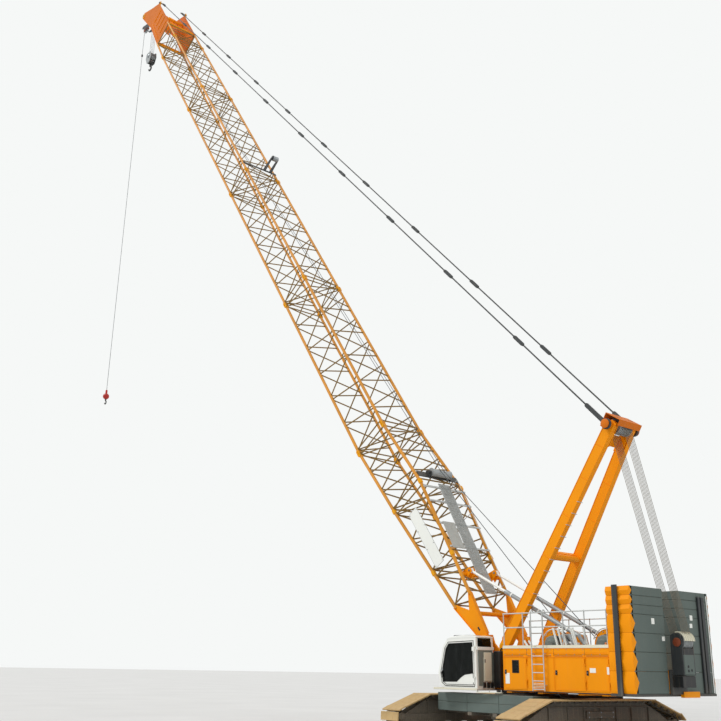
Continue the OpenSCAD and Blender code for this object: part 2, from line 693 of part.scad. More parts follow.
// Cab
cab_side = [[225, 735], [1100, 735], [1235, 815], [1285, 1035], [1150, 1530], [1030, 1670], [250, 1700]];
cab_in_y = cab_y - cab_w;
door_points = [[300, 790], [1075, 790], [1180, 850], [1215, 1040], [1095, 1500], [1000, 1610], [315, 1630]];
module cab_shell() {
    color(cab_white) for (z = cab_hinges) hinge_post(cab_hinge_x, cab_y, z);
    color(cab_white) difference() {
        y_plate(cab_side, cab_w, cab_y - cab_w / 2);
        y_plate(inset(cab_side, cab_t), cab_w - 2 * cab_t, cab_y - cab_w / 2);
        // Door opening, windscreen, roof light, right and rear windows
        y_plate(door_points, 3 * cab_t, cab_y);
        y_plate([[1165, 860], [1400, 860], [1400, 1500], [1060, 1500]], cab_w - 3 * cab_t, cab_y - cab_w / 2);
        y_plate([[330, 1120], [1080, 1120], [1040, 1560], [340, 1600]], 3 * cab_t, cab_in_y);
        y_plate([[150, 1350], [300, 1350], [310, 1620], [150, 1620]], cab_w - 4 * cab_t, cab_y - cab_w / 2);
        y_plate([[500, 1600], [900, 1600], [900, 1750], [500, 1750]], cab_w - 4 * cab_t, cab_y - cab_w / 2);
    }
}
glass_t = 8;
module cab_glass() {
    color([0.3, 0.4, 0.4, 0.5]) {
        // Windscreen, right window and rear window, each inside its opening
        y_plate([[1216, 862], [1250, 1010], [1252, 1040], [1128, 1498], [1119, 1495], [1243, 1038], [1241,
            1012],
            [1208, 862]], cab_w - 3 * cab_t - 1, cab_y - cab_w / 2);
        y_plate([[330.5, 1120.5], [1079.5, 1120.5], [1039.5, 1559.5], [340.5, 1599.5]], glass_t,
            cab_in_y + cab_t / 2);
        y_plate([[238, 1350.5], [246, 1350.5], [255, 1619.5], [247, 1619.5]], cab_w - 4 * cab_t - 1,
            cab_y - cab_w / 2);
        translate([500.5, cab_in_y + 2 * cab_t + 0.5, 1668]) cube([399, cab_w - 4 * cab_t - 1, glass_t]);
    }
}
module cab_seat() {
    // The driver's seat on its base, with the two control consoles
    mid = cab_y - cab_w / 2;
    floor_z = 735 + cab_t + slab_gap;
    color(dark_steel) {
        translate([480, mid - 110, floor_z]) cube([220, 220, 170]);
        translate([450, mid - 125, floor_z + 170]) cube([290, 250, 60]);
        y_plate([[400, floor_z + 200], [470, floor_z + 200], [420, floor_z + 600], [360, floor_z + 600]],
            230, mid);
        for (side = [-1, 1]) translate([500, mid + side * 170 - 30, floor_z]) cube([300, 60, 330]);
    }
}
door_t = 30;
cab_hinge_x = 292;
cab_hinges = [900, 1480];
module cab_door() {
    frame = inset(door_points, door_gap);
    y = cab_y - door_t / 2;
    color(cab_white) {
        difference() {
            y_plate(frame, door_t, y);
            y_plate(inset(door_points, 48), door_t + 2, y);
        }
        // The solid lower panel with its sloping top
        intersection() {
            y_plate(inset(door_points, 30), door_t - 6, y);
            y_plate([[250, 700], [1300, 700], [1300, 870], [760, 870], [620, 990], [250, 1000]], door_t, y);
        }
        // The glass
        y_plate(inset(door_points, 40), glass_t, y);
        // The handle
        for (z = [960, 1040]) y_rod(1175, z, 8, 32, cab_y + 12);
        translate([1167, cab_y + 16, 940]) cube([16, 14, 120]);
        for (z = cab_hinges) hinge_knuckle(cab_hinge_x, cab_y, z, 52);
    }
}

// Boom
module boom_place() {
    translate([boom_pin_x, 0, boom_pin_z]) rotate([0, -boom_angle, 0]) children();
}
end_frame_in = 98;
// One lattice section: chords between two frames given as [s, half width, low n, high n], with lacing
module lattice(f0, f1, panels) {
    function at(t, side, level) = mix([f0.x, side * f0.y, level < 0 ? f0.z : f0[3]],
        [f1.x, side * f1.y, level < 0 ? f1.z : f1[3]], t);
    // A tapered chord's end leans, so it starts that much further from the joint
    taper = max(abs(f1.y - f0.y), abs(f1.z - f0.z), abs(f1[3] - f0[3])) / (f1.x - f0.x);
    gap = (joint_gap + 0.6 * chord_dia * taper) / (f1.x - f0.x);
    for (side = [-1, 1], level = [-1, 1])
        bar(at(gap, side, level), at(1 - gap, side, level), chord_dia, chord_sides, 15);
    for (k = [0:panels - 1]) {
        t0 = (k + 0.06) / panels;
        tm = (k + 0.5) / panels;
        t1 = (k + 0.94) / panels;
        for (side = [-1, 1]) {
            // The side faces
            bar(at(t0, side, -1), at(tm - 0.04 / panels, side, 1), lace_dia);
            bar(at(tm + 0.04 / panels, side, 1), at(t1, side, -1), lace_dia);
        }
        for (level = [-1, 1]) {
            // The lower and upper faces
            bar(at(t0 + 0.02 / panels, -level, level), at(tm - 0.06 / panels, level, level), lace_dia);
            bar(at(tm + 0.06 / panels, level, level), at(t1 - 0.02 / panels, -level, level), lace_dia);
        }
    }
    inward = end_frame_in / (f1.x - f0.x);
    for (t = [inward, 1 - inward]) end_frame(at(t, 1, -1), at(t, 1, 1));
}
// The square frame and cross brace at a section's end
module end_frame(low, high) {
    function far(p) = [p.x, -p.y, p.z];
    bar(low, high, lace_dia);
    bar(far(low), far(high), lace_dia);
    bar(low, far(low), lace_dia);
    bar(high, far(high), lace_dia);
    bar(low, far(high), lace_dia);
}
// The pinned fork at each chord of a joint
fork_back = 150;
fork_reach = 55;
module joint_forks(s, half_w, low, high) {
    for (side = [-1, 1], n = [low, high]) {
        for (cheek = [-1, 1]) translate([s - fork_back, side * half_w + cheek * (chord_dia / 2 + 8) - 8,
            n - 48])
            cube([fork_back + fork_reach, 16, 96]);
        translate([s - 45, side * half_w - chord_dia / 2 - 26, n]) rotate([-90, 0, 0])
            cylinder(h = chord_dia + 52, r = 22, $fn = 8);
        translate([s - 130, side * half_w - chord_dia / 2 - 1, n - 40]) cube([60, chord_dia + 2, 80]);
    }
}

half_w = boom_w / 2;
plate_s = 1000;
module boom_foot() {
    // Taper from the leg plates to the full section
    f0 = [plate_s, foot_lug_y + 4, -320, 170];
    f1 = [2000, foot_lug_y + 12, -420, high_n - 12];
    fk = [foot_bend_s, foot_bend_w / 2, mix(f1.z, low_n, (foot_bend_s - 2000) / (foot_len - 2000)),
        foot_bend_n];
    f2 = [foot_len, half_w, low_n, high_n];
    color(crane_orange) boom_place() difference() {
        union() {
            lattice(f0, f1, 1);
            lattice(f1, fk, 2);
            lattice(fk, f2, 3);
            // Welded blocks at the bends of the chords
            for (f = [f1, fk], side = [-1, 1], n = [f.z, f[3]]) translate([f.x - 60, side * f.y - 43, n - 43])
                cube([120, 86, 86]);
            both_sides() {
                y_plate([[-40, -95], [30, -98], [plate_s + 40, -362], [plate_s + 60, -280],
                    [plate_s * 0.75, -40],
                    [plate_s + 60, 140], [plate_s + 40, 212], [40, 96], [-60, 80]], foot_lug_t * 0.45,
                        foot_lug_y);
                y_rod(0, 0, 98, foot_lug_t, foot_lug_y);
            }
            bar([plate_s * 0.7, -foot_lug_y, -60], [plate_s * 0.7, foot_lug_y, -60], 90, 12);
            joint_forks(foot_len, half_w, low_n, high_n);
            // Lugs for the backstops' eyes
            for (side = [-1, 1], cheek = [-1, 1]) y_plate([[stop_eye_s - 110, 150], [stop_eye_s + 110, 150],
                [stop_eye_s + 50, stop_eye_n + 50], [stop_eye_s - 50, stop_eye_n + 50]], 16,
                side * stop_y + cheek * 52);
            bar([stop_eye_s, -foot_lug_y, 190], [stop_eye_s, foot_lug_y, 190], 90, 12);
        }
        both_sides() y_rod(0, 0, boom_pin_r + pin_clear, foot_lug_t + 4, foot_lug_y);
    }
}
module insert_at(s, length, panels) {
    color(crane_orange) boom_place() {
        lattice([s, half_w, low_n, high_n], [s + length, half_w, low_n, high_n], panels);
        joint_forks(s + length, half_w, low_n, high_n);
    }
}
insert_panels = round(insert_len / lace_pitch);
module boom_insert_1() { insert_at(foot_len, insert_len, insert_panels); }
module boom_insert_2() { insert_at(foot_len + insert_len, insert_len, insert_panels); }
module boom_insert_3() { insert_at(foot_len + 2 * insert_len, insert_len, insert_panels); }
head_s = boom_len - head_len;
module boom_insert_top() {
    insert_at(foot_len + 3 * insert_len, top_insert_len, floor(top_insert_len / lace_pitch));
}
head_plate_s = head_s + 1250;
head_axle_r = 48;
head_y = half_w - 20;
jib_bore_r = 30;
module boom_head() {
    f0 = [head_s, half_w, low_n, high_n];
    f1 = [head_plate_s, half_w, low_n + 60, high_n];
    color(crane_orange) boom_place() difference() {
        union() {
            lattice(f0, f1, 1);
            both_sides() {
                y_plate([[head_plate_s - 60, low_n + 10], [boom_len - 1300, low_n + 120], [boom_len - 300,
                    head_n - 90],
                    [boom_len + 20, head_n - 130], [boom_len + 110, head_n - 40], [boom_len + 110,
                        head_n + 110],
                    [boom_len - 500, -60], [boom_len - 900, high_n + 60], [head_plate_s - 60, high_n + 50]],
                    40, head_y);
                y_plate([[boom_len - 1300, low_n + 150], [boom_len - 300, head_n - 60], [boom_len + 20,
                    head_n - 100],
                    [boom_len + 90, head_n - 30], [boom_len + 90, head_n + 90], [boom_len - 500, -100],
                    [boom_len - 1300, 100]], 30, 200);
                // Ears for the pendants
                y_plate([[boom_len - 1150, high_n], [boom_len - 850, high_n], [boom_len - 900, high_n + 190],
                    [boom_len - 1010, high_n + 190]], 24, head_y);
            }
            y_rod(boom_len, head_n, head_axle_r, 2 * head_y + 60);
            for (p = [[head_plate_s + 60, low_n + 70], [head_plate_s + 60, high_n - 30], [boom_len - 1200, 0],
                [boom_len - 560, -180]]) y_rod(p.x, p.y, 56, 2 * head_y);
        }
        both_sides() y_rod(boom_len - 1500, low_n + 190, jib_bore_r, 60, head_y);
    }
}
module head_sheaves() {
    color(slab_grey) boom_place() difference() {
        for (k = [-1.5, -0.5, 0.5, 1.5]) y_rod(boom_len, head_n, head_sheave_r, sheave_w,
            k * (sheave_w + 14));
        y_rod(boom_len, head_n, head_axle_r + pin_clear, boom_w);
    }
}
// Foot section's half width and upper chord plane at s
function foot_half(s) = mix(foot_lug_y + 12, foot_bend_w / 2, (s - 2000) / (foot_bend_s - 2000));
function foot_high(s) = mix(high_n - 12, foot_bend_n, (s - 2000) / (foot_bend_s - 2000));
// Distance from a chord's middle to its flats
chord_flat = chord_dia / 2 * cos(180 / chord_sides);
module boom_walkway() {
    // Walkway on cross bearers along the foot section's upper face, and a side board beside it
    rise = (foot_high(3000) - foot_high(2000)) / 1000;
    lean = atan(rise);
    lift = chord_flat + slab_gap;
    color(rail_grey) boom_place() translate([2000, 0, foot_high(2000)]) rotate([0, -lean, 0]) {
        for (s = [150, 750, 1350, 1750])
            translate([s - 20, -foot_half(2000 + s) - 15, lift]) cube([40, 2 * foot_half(2000 + s) + 30, 30]);
        translate([-1000, -walk_w / 2, lift + 26]) cube([2860, walk_w, 20]);
        translate([100, 210, lift + 26]) cube([680, 360, 16]);
    }
}
module boom_rope_roller() {
    s = foot_len + 2 * insert_len + 350;
    color(dark_steel) boom_place() {
        for (y = [-420, -180]) y_plate([[s - 90, high_n + 45], [s + 90, high_n + 45], [s + 40, high_n + 600],
            [s - 40, high_n + 600]], 16, y);
        y_rod(s, high_n + 560, 90, 224, -300);
        translate([s - 50, -half_w - 30, high_n + chord_flat + slab_gap]) cube([100, boom_w + 60, 20]);
    }
}
sign_t = 8;
sign_s = 2000;
sign_n = -255;
sign_h = 280;
sign_len = 1500;
walk_w = 340;
module boom_sign() {
    // The blank board hung on the boom's left side
    color(cab_white) boom_place()
        y_plate([[sign_s, sign_n], [sign_s + sign_len, sign_n], [sign_s + sign_len, sign_n + sign_h],
            [sign_s, sign_n + sign_h]], sign_t,
            foot_half(sign_s + sign_len) + lace_dia / 2 + 0.3 + sign_t / 2);
}
whip_s = boom_len + 700;
whip_n = -1420;
whip_r = 150;
module whip_arm() {
    // The auxiliary sheave on its arms, hung on the boom head's axle
    color(crane_orange) boom_place() difference() {
        union() {
            for (side = [-1, 1]) y_plate([[boom_len - 300, head_n - 75], [boom_len - 20, head_n + 90],
                [whip_s + 50, whip_n + 60], [whip_s + 30, whip_n - 60]], 20, side * (185 - slab_gap - 10));
            y_rod(whip_s, whip_n, 26, 2 * (185 - slab_gap));
            y_rod(boom_len + 420, -980, 26, 2 * (185 - slab_gap) - 10);
        }
        y_rod(boom_len, head_n, head_axle_r + pin_clear, boom_w);
    }
    color(slab_grey) boom_place() y_rod(whip_s, whip_n, whip_r, 50);
}

// Mast
mast_head_r = 60;
module mast() {
    v = [mast_head_x - mast_pin_x, mast_head_z - mast_pin_z];
    angle = atan2(v.y, v.x);
    length = norm(v);
    lean = atan2(mast_foot_y - mast_head_y, length);
    color(crane_orange) translate([mast_pin_x, 0, mast_pin_z]) rotate([0, -angle, 0]) difference() {
        union() {
            both_sides() {
                translate([0, mast_foot_y, 0]) rotate([0, 0, -lean])
                    translate([-30, -mast_leg_t / 2, -mast_leg_w / 2]) cube([length + 60, mast_leg_t,
                        mast_leg_w]);
                y_rod(0, 0, 90, mast_leg_t, mast_foot_y);
            }
            cross = mix(mast_foot_y, mast_head_y, 0.42);
            bar([length * 0.42, -cross, 40], [length * 0.42, cross, 40], 130, 12);
            translate([length * 0.42 - 60, -cross, -110]) cube([120, 2 * cross, 90]);
            translate([length - 420, -mast_head_y, -110]) cube([230, 2 * mast_head_y, 60]);
            y_rod(length, 0, mast_head_r, 2 * pendant_y + 120);
        }
        both_sides() y_rod(0, 0, mast_pin_r + pin_clear, mast_leg_t + 30, mast_foot_y);
    }
}
module mast_sheaves() {
    color(rail_grey) difference() {
        for (k = [-4:4]) y_rod(mast_head_x, mast_head_z, 150, 30, k * 44);
        y_rod(mast_head_x, mast_head_z, mast_head_r + pin_clear, 2 * mast_head_y);
    }
}

// Pendants, from the mast head to just short of the boom head
boom_eye = [boom_len - 950, high_n + 120];
function boom_point(s, n) = [boom_pin_x + s * cos(boom_angle) - n * sin(boom_angle),
    boom_pin_z + s * sin(boom_angle) + n * cos(boom_angle)];
module pendants() {
    e = boom_point(boom_eye.x, boom_eye.y);
    v = [e.x - mast_head_x, e.y - mast_head_z];
    length = norm(v);
    step = length / pendant_rods;
    color(dark_steel) translate([mast_head_x, 0, mast_head_z]) rotate([0, -atan2(v.y, v.x), 0])
        both_sides() translate([0, pendant_y, 0]) difference() {
            union() {
                y_rod(0, 0, 105, 56);
                bar([90, 0, 0], [length, 0, 0], pendant_dia, 8);
                for (k = [1:pendant_rods - 1]) translate([k * step - 190, -26, -46]) cube([380, 52, 92]);
                translate([length - 260, -20, -40]) cube([260, 40, 80]);
            }
            y_rod(0, 0, mast_head_r + pin_clear, 70);
        }
}

// Backstops
module stop_place() {
    e = boom_point(stop_eye_s, stop_eye_n);
    v = [e.x - stop_foot_x, e.y - stop_foot_z];
    translate([stop_foot_x, 0, stop_foot_z]) rotate([0, -atan2(v.y, v.x), 0]) both_sides()
        translate([0, stop_y, 0]) children();
}
stop_len = let (e = boom_point(stop_eye_s, stop_eye_n)) norm([e.x - stop_foot_x, e.y - stop_foot_z]);
stop_tube_len = stop_len * 0.66;
module backstop_tubes() {
    color(cab_white) stop_place() difference() {
        union() {
            rotate([0, 90, 0]) cylinder(h = stop_tube_len, d = stop_tube_dia, $fn = 32);
            y_rod(0, 0, 62, stop_tube_dia);
        }
        translate([140, 0, 0]) rotate([0, 90, 0]) cylinder(h = stop_tube_len,
            d = stop_rod_dia + 2 * pin_clear, $fn = 32);
        y_rod(0, 0, stop_pin_r + pin_clear, stop_tube_dia + 10);
    }
}
module backstop_rods() {
    start = stop_len * 0.34;
    color(rail_grey) stop_place() {
        translate([start, 0, 0]) rotate([0, 90, 0]) cylinder(h = stop_len - start - 20, d = stop_rod_dia,
            $fn = 32);
        difference() {
            y_rod(stop_len, 0, 52, 60);
            y_rod(stop_len, 0, 24, 70);
        }
    }
}

// Hooks
hook_top = boom_point(boom_len, head_n);
hook_x = hook_top.x + head_sheave_r + rope_dia / 2 + 0.6;
hook_z = hook_top.y - hook_drop;
module hook_block() {
    falls = [-1.5, -0.5, 0.5, 1.5];
    color(dark_steel) {
        for (y = falls) bar([hook_x, y * 58, hook_z + 100], [hook_x, y * 58, hook_top.y], rope_dia, 8);
        for (y = falls) y_rod(hook_x, hook_z, 190, 40, y * 58);
        for (side = [-1, 1]) y_plate([[hook_x - 190, hook_z + 160], [hook_x + 190, hook_z + 160],
            [hook_x + 230, hook_z - 60], [hook_x + 100, hook_z - 330], [hook_x - 100, hook_z - 330],
            [hook_x - 230, hook_z - 60]], 26, side * 125);
        y_rod(hook_x, hook_z, 40, 290);
        translate([hook_x - 90, -125, hook_z - 330]) cube([180, 250, 90]);
        translate([hook_x, 0, hook_z - 470]) cylinder(h = 150, r = 42, $fn = 24);
        difference() {
            y_rod(hook_x, hook_z - 560, 130, 60);
            y_rod(hook_x + 8, hook_z - 552, 68, 70);
            translate([hook_x + 20, -40, hook_z - 552]) cube([140, 80, 170]);
        }
    }
}
whip_top = boom_point(whip_s, whip_n);
ball_x = whip_top.x + whip_r + rope_dia / 2 + 0.6;
ball_z = whip_top.y - ball_drop;
module whip_ball() {
    color([0.7, 0.08, 0.06]) {
        translate([ball_x, 0, ball_z]) sphere(r = 120, $fn = 48);
        translate([ball_x, 0, ball_z + 100]) cylinder(h = 160, r = 40, $fn = 24);
        translate([ball_x, 0, ball_z - 190]) cylinder(h = 100, r = 26, $fn = 24);
        difference() {
            y_rod(ball_x, ball_z - 250, 80, 40);
            y_rod(ball_x + 4, ball_z - 246, 42, 50);
            translate([ball_x + 10, -30, ball_z - 246]) cube([90, 60, 100]);
        }
    }
    color(dark_steel) translate([ball_x, 0, ball_z + 200])
        cylinder(h = whip_top.y - ball_z - 200, d = rope_dia, $fn = 12);
}

carbody();
track_frames();
track_near();
track_far();
track_wheels();
car_ballast();
main_frame();
slew_ring();
house_left();
house_right();
door_left_front();
door_left_middle();
door_left_rear();
door_right_front();
door_right_middle();
door_right_rear();
engine();
deck();
handrails();
ladder();
winch_beds();
hoist_drum_front();
hoist_drum_rear();
counterweight_tray();
counterweight_left();
counterweight_right();
luffing_block();
cab_shell();
cab_glass();
cab_seat();
cab_door();
boom_foot();
boom_insert_1();
boom_insert_2();
boom_insert_3();
boom_insert_top();
boom_head();
head_sheaves();
boom_walkway();
boom_rope_roller();
boom_sign();
whip_arm();
mast();
mast_sheaves();
pendants();
backstop_tubes();
backstop_rods();
hook_block();
whip_ball();
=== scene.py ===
"""Looks of a lattice-boom crawler crane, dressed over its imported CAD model.

Lengths are in metres, at half the real size. +X is the way the boom points, +Y
is the machine's left side and +Z is up.
"""

import logging
from dataclasses import dataclass, field
from enum import Enum
from math import acos, atan, atan2, cos, hypot, pi, radians, sin, sqrt, tau
from typing import Iterable, Sequence

import bpy
from mathutils import Matrix, Vector


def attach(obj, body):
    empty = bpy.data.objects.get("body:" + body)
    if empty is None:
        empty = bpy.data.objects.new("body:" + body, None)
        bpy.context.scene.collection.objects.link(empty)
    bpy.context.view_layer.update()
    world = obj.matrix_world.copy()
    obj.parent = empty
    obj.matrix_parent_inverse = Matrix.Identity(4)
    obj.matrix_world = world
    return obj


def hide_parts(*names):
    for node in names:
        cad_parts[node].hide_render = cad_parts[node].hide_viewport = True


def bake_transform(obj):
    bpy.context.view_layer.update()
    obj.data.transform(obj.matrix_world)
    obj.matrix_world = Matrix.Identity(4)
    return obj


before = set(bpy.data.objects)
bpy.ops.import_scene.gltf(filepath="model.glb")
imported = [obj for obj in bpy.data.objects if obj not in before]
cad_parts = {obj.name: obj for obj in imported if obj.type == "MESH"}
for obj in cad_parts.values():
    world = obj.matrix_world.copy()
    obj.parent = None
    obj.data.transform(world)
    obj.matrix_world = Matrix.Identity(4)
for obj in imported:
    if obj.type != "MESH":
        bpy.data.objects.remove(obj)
log = logging.getLogger("crawler_crane")

Shape = bpy.types.Object
Socket = bpy.types.NodeSocket
Pair = tuple[float, float]
Triple = tuple[float, float, float]
UNMOVED = Matrix.Identity(4)
MIRROR = Matrix.Scale(-1, 4, (0, 1, 0))
SHARP = radians(38)
moved = Matrix.Translation


class Side(Enum):
    """The machine's two sides, as the sign of Y."""

    LEFT = 1
    RIGHT = -1


# Node graphs


class Graph:
    """A node tree with short calls for adding and joining its nodes."""

    def __init__(self, tree: bpy.types.NodeTree) -> None:
        """Work on an existing tree.

        Args:
            tree: The material's or the group's node tree.
        """
        self.tree = tree

    def add(self, kind: str, sockets: dict | None = None, **settings: object) -> bpy.types.Node:
        """Add a node, and set or wire its inputs.

        Args:
            kind: The node's Blender type.
            sockets: Input name or index to a value or to an output socket.
            **settings: The node's own properties.

        Returns:
            The new node.
        """
        node = self.tree.nodes.new(kind)
        for key, value in settings.items():
            setattr(node, key, value)
        for key, value in (sockets or {}).items():
            if isinstance(value, bpy.types.NodeSocket):
                self.tree.links.new(value, node.inputs[key])
            else:
                node.inputs[key].default_value = value
        return node

    def math(self, operation: str, a: float | Socket, b: float | Socket = 0.0) -> Socket:
        """One maths step on two numbers."""
        return self.add("ShaderNodeMath", {0: a, 1: b}, operation=operation).outputs[0]

    def mix(self, factor: float | Socket, a: object, b: object, blend: str = "MIX") -> Socket:
        """Mix two colours."""
        node = self.add("ShaderNodeMix", {0: factor, 6: a, 7: b}, data_type="RGBA", blend_type=blend)
        return node.outputs[2]

    def span(self, value: Socket, low: float, high: float, start: float = 0.0, end: float = 1.0) -> Socket:
        """Map a value from low..high to start..end, clamped."""
        ends = {"Value": value, "From Min": low, "From Max": high, "To Min": start, "To Max": end}
        return self.add("ShaderNodeMapRange", ends).outputs[0]

    def noise(self, place: Socket, scale: float, detail: float = 4.0, rough: float = 0.6) -> Socket:
        """A noise value at a place."""
        sockets = {"Vector": place, "Scale": scale, "Detail": detail, "Roughness": rough}
        return self.add("ShaderNodeTexNoise", sockets).outputs["Fac"]

    def stretched(self, place: Socket, scale: Triple, turn: Triple = (0.0, 0.0, 0.0)) -> Socket:
        """A place with its axes stretched and turned."""
        return self.add("ShaderNodeMapping", {"Vector": place, "Scale": scale, "Rotation": turn}).outputs[0]

    def place(self) -> Socket:
        """The surface point in the object's own space."""
        return self.add("ShaderNodeTexCoord").outputs["Object"]


def linear(code: str) -> tuple[float, float, float, float]:
    """Turn a six-digit sRGB code into a linear colour with alpha 1."""
    parts = [int(code[k : k + 2], 16) / 255 for k in (0, 2, 4)]
    return (*(p / 12.92 if p <= 0.04045 else ((p + 0.055) / 1.055) ** 2.4 for p in parts), 1.0)


def new_group(name: str, inputs: dict[str, object], outputs: dict[str, str]) -> Graph:
    """Start a shader node group with named sockets.

    Args:
        name: The group's name.
        inputs: Socket name to its default, a number or a colour.
        outputs: Socket name to its socket type.

    Returns:
        The graph of the new group.
    """
    tree = bpy.data.node_groups.new(name, "ShaderNodeTree")
    for key, value in inputs.items():
        kind = "NodeSocketColor" if isinstance(value, tuple) else "NodeSocketFloat"
        tree.interface.new_socket(key, in_out="INPUT", socket_type=kind).default_value = value
    for key, kind in outputs.items():
        tree.interface.new_socket(key, in_out="OUTPUT", socket_type=kind)
    return Graph(tree)


def weather_group() -> bpy.types.NodeTree:
    """Paint that fades, streaks, chips and gathers dust on what faces up."""
    g = new_group(
        "Weathered surface",
        {
            "paint": (0.8, 0.8, 0.8, 1.0),
            "dust_tone": (0.45, 0.38, 0.28, 1.0),
            "under": (0.12, 0.07, 0.04, 1.0),
            "fade": 0.12,
            "dust": 0.3,
            "streaks": 0.2,
            "chips": 0.1,
            "low_dust": 0.0,
            "gloss": 0.4,
        },
        {"Colour": "NodeSocketColor", "Roughness": "NodeSocketFloat", "Height": "NodeSocketFloat"},
    )
    given = g.add("NodeGroupInput").outputs
    place = g.place()
    patches = g.noise(place, 0.9, 5.0)
    grain = g.noise(place, 38.0, 5.0, 0.7)
    drips = g.noise(g.stretched(place, (11.0, 11.0, 0.6)), 1.6, 4.0)
    flakes = g.noise(place, 9.0, 9.0, 0.75)
    parts = g.add("ShaderNodeSeparateXYZ", {0: place}).outputs
    up = g.add("ShaderNodeSeparateXYZ", {0: g.add("ShaderNodeNewGeometry").outputs["Normal"]}).outputs["Z"]

    fade = g.math("MULTIPLY", g.span(patches, 0.3, 0.7, -1.0, 1.0), given["fade"])
    tone = g.add("ShaderNodeHueSaturation", {"Value": g.math("ADD", 1.0, fade), "Color": given["paint"]})
    streak = g.math("MULTIPLY", g.span(drips, 0.52, 0.75), given["streaks"])
    settled = g.math("MULTIPLY", g.span(up, 0.25, 0.95), g.span(flakes, 0.3, 0.62, 0.35, 1.0))
    settled = g.math("MULTIPLY", settled, given["dust"])
    low = g.math("MULTIPLY", g.span(parts["Z"], 0.95, 0.15), g.span(grain, 0.3, 0.65, 0.5, 1.0))
    low = g.math("MULTIPLY", low, given["low_dust"])
    dirt = g.math("MINIMUM", g.math("ADD", g.math("ADD", streak, settled), low), 1.0)
    bare = g.math("MULTIPLY", g.span(flakes, 0.66, 0.71), given["chips"])
    dusty = g.mix(dirt, tone.outputs[0], given["dust_tone"])
    colour = g.mix(bare, dusty, given["under"])
    rough = g.math("ADD", given["gloss"], g.math("MULTIPLY", dirt, 0.35))
    rough = g.math("ADD", rough, g.span(grain, 0.3, 0.7, -0.05, 0.07))
    height = g.math("SUBTRACT", g.math("MULTIPLY", grain, 0.5), g.math("MULTIPLY", bare, 0.6))
    g.add("NodeGroupOutput", {"Colour": colour, "Roughness": rough, "Height": height})
    return g.tree


def lines_group() -> bpy.types.NodeTree:
    """Crossed ribs at a given spacing, as on tread plate and woven cloth."""
    g = new_group("Crossed ribs", {"Spacing": 0.02, "Sharpness": 2.0}, {"Ribs": "NodeSocketFloat"})
    given = g.add("NodeGroupInput").outputs
    parts = g.add("ShaderNodeSeparateXYZ", {0: g.place()}).outputs
    waves = []
    for sign in (1.0, -1.0):
        run = g.math("ADD", parts["X"], g.math("MULTIPLY", g.math("ADD", parts["Y"], parts["Z"]), sign))
        turn = g.math("MULTIPLY", g.math("DIVIDE", run, given["Spacing"]), tau)
        waves.append(g.math("MULTIPLY", g.math("ADD", g.math("SINE", turn), 1.0), 0.5))
    ribs = g.math("POWER", g.math("MAXIMUM", *waves), given["Sharpness"])
    g.add("NodeGroupOutput", {"Ribs": ribs})
    return g.tree


def strands_group() -> bpy.types.NodeTree:
    """The twist of a wire rope, from the run and turn that a rope's UV map holds."""
    g = new_group("Rope strands", {"Strands": 6.0, "Lay": 0.1}, {"Twist": "NodeSocketFloat"})
    given = g.add("NodeGroupInput").outputs
    parts = g.add("ShaderNodeSeparateXYZ", {0: g.add("ShaderNodeUVMap").outputs[0]}).outputs
    turn = g.math("ADD", parts["X"], g.math("DIVIDE", parts["Y"], given["Lay"]))
    wave = g.math("SINE", g.math("MULTIPLY", g.math("MULTIPLY", turn, given["Strands"]), tau))
    g.add("NodeGroupOutput", {"Twist": g.span(wave, -1.0, 1.0)})
    return g.tree


WEATHER = weather_group()
LINES = lines_group()
STRANDS = strands_group()


# Finishes


class Relief(Enum):
    """What a coat's surface carries besides its own grain."""

    NONE = "none"
    TREAD = "tread"
    WEAVE = "weave"
    ROPE = "rope"


class Finish:
    """What a shape is finished in: a named material and its slot."""

    name: str
    slot: str

    def material(self) -> bpy.types.Material:
        """The finish's material, built at its first use."""
        found = bpy.data.materials.get(self.name)
        if found:
            return found
        made = bpy.data.materials.new(self.name)
        made.use_nodes = True
        made.node_tree.nodes.clear()
        g = Graph(made.node_tree)
        g.add("ShaderNodeOutputMaterial", {0: self.shader(g)})
        return made

    def shader(self, g: Graph) -> Socket:
        """Build the finish's shader in the material's graph."""
        raise NotImplementedError


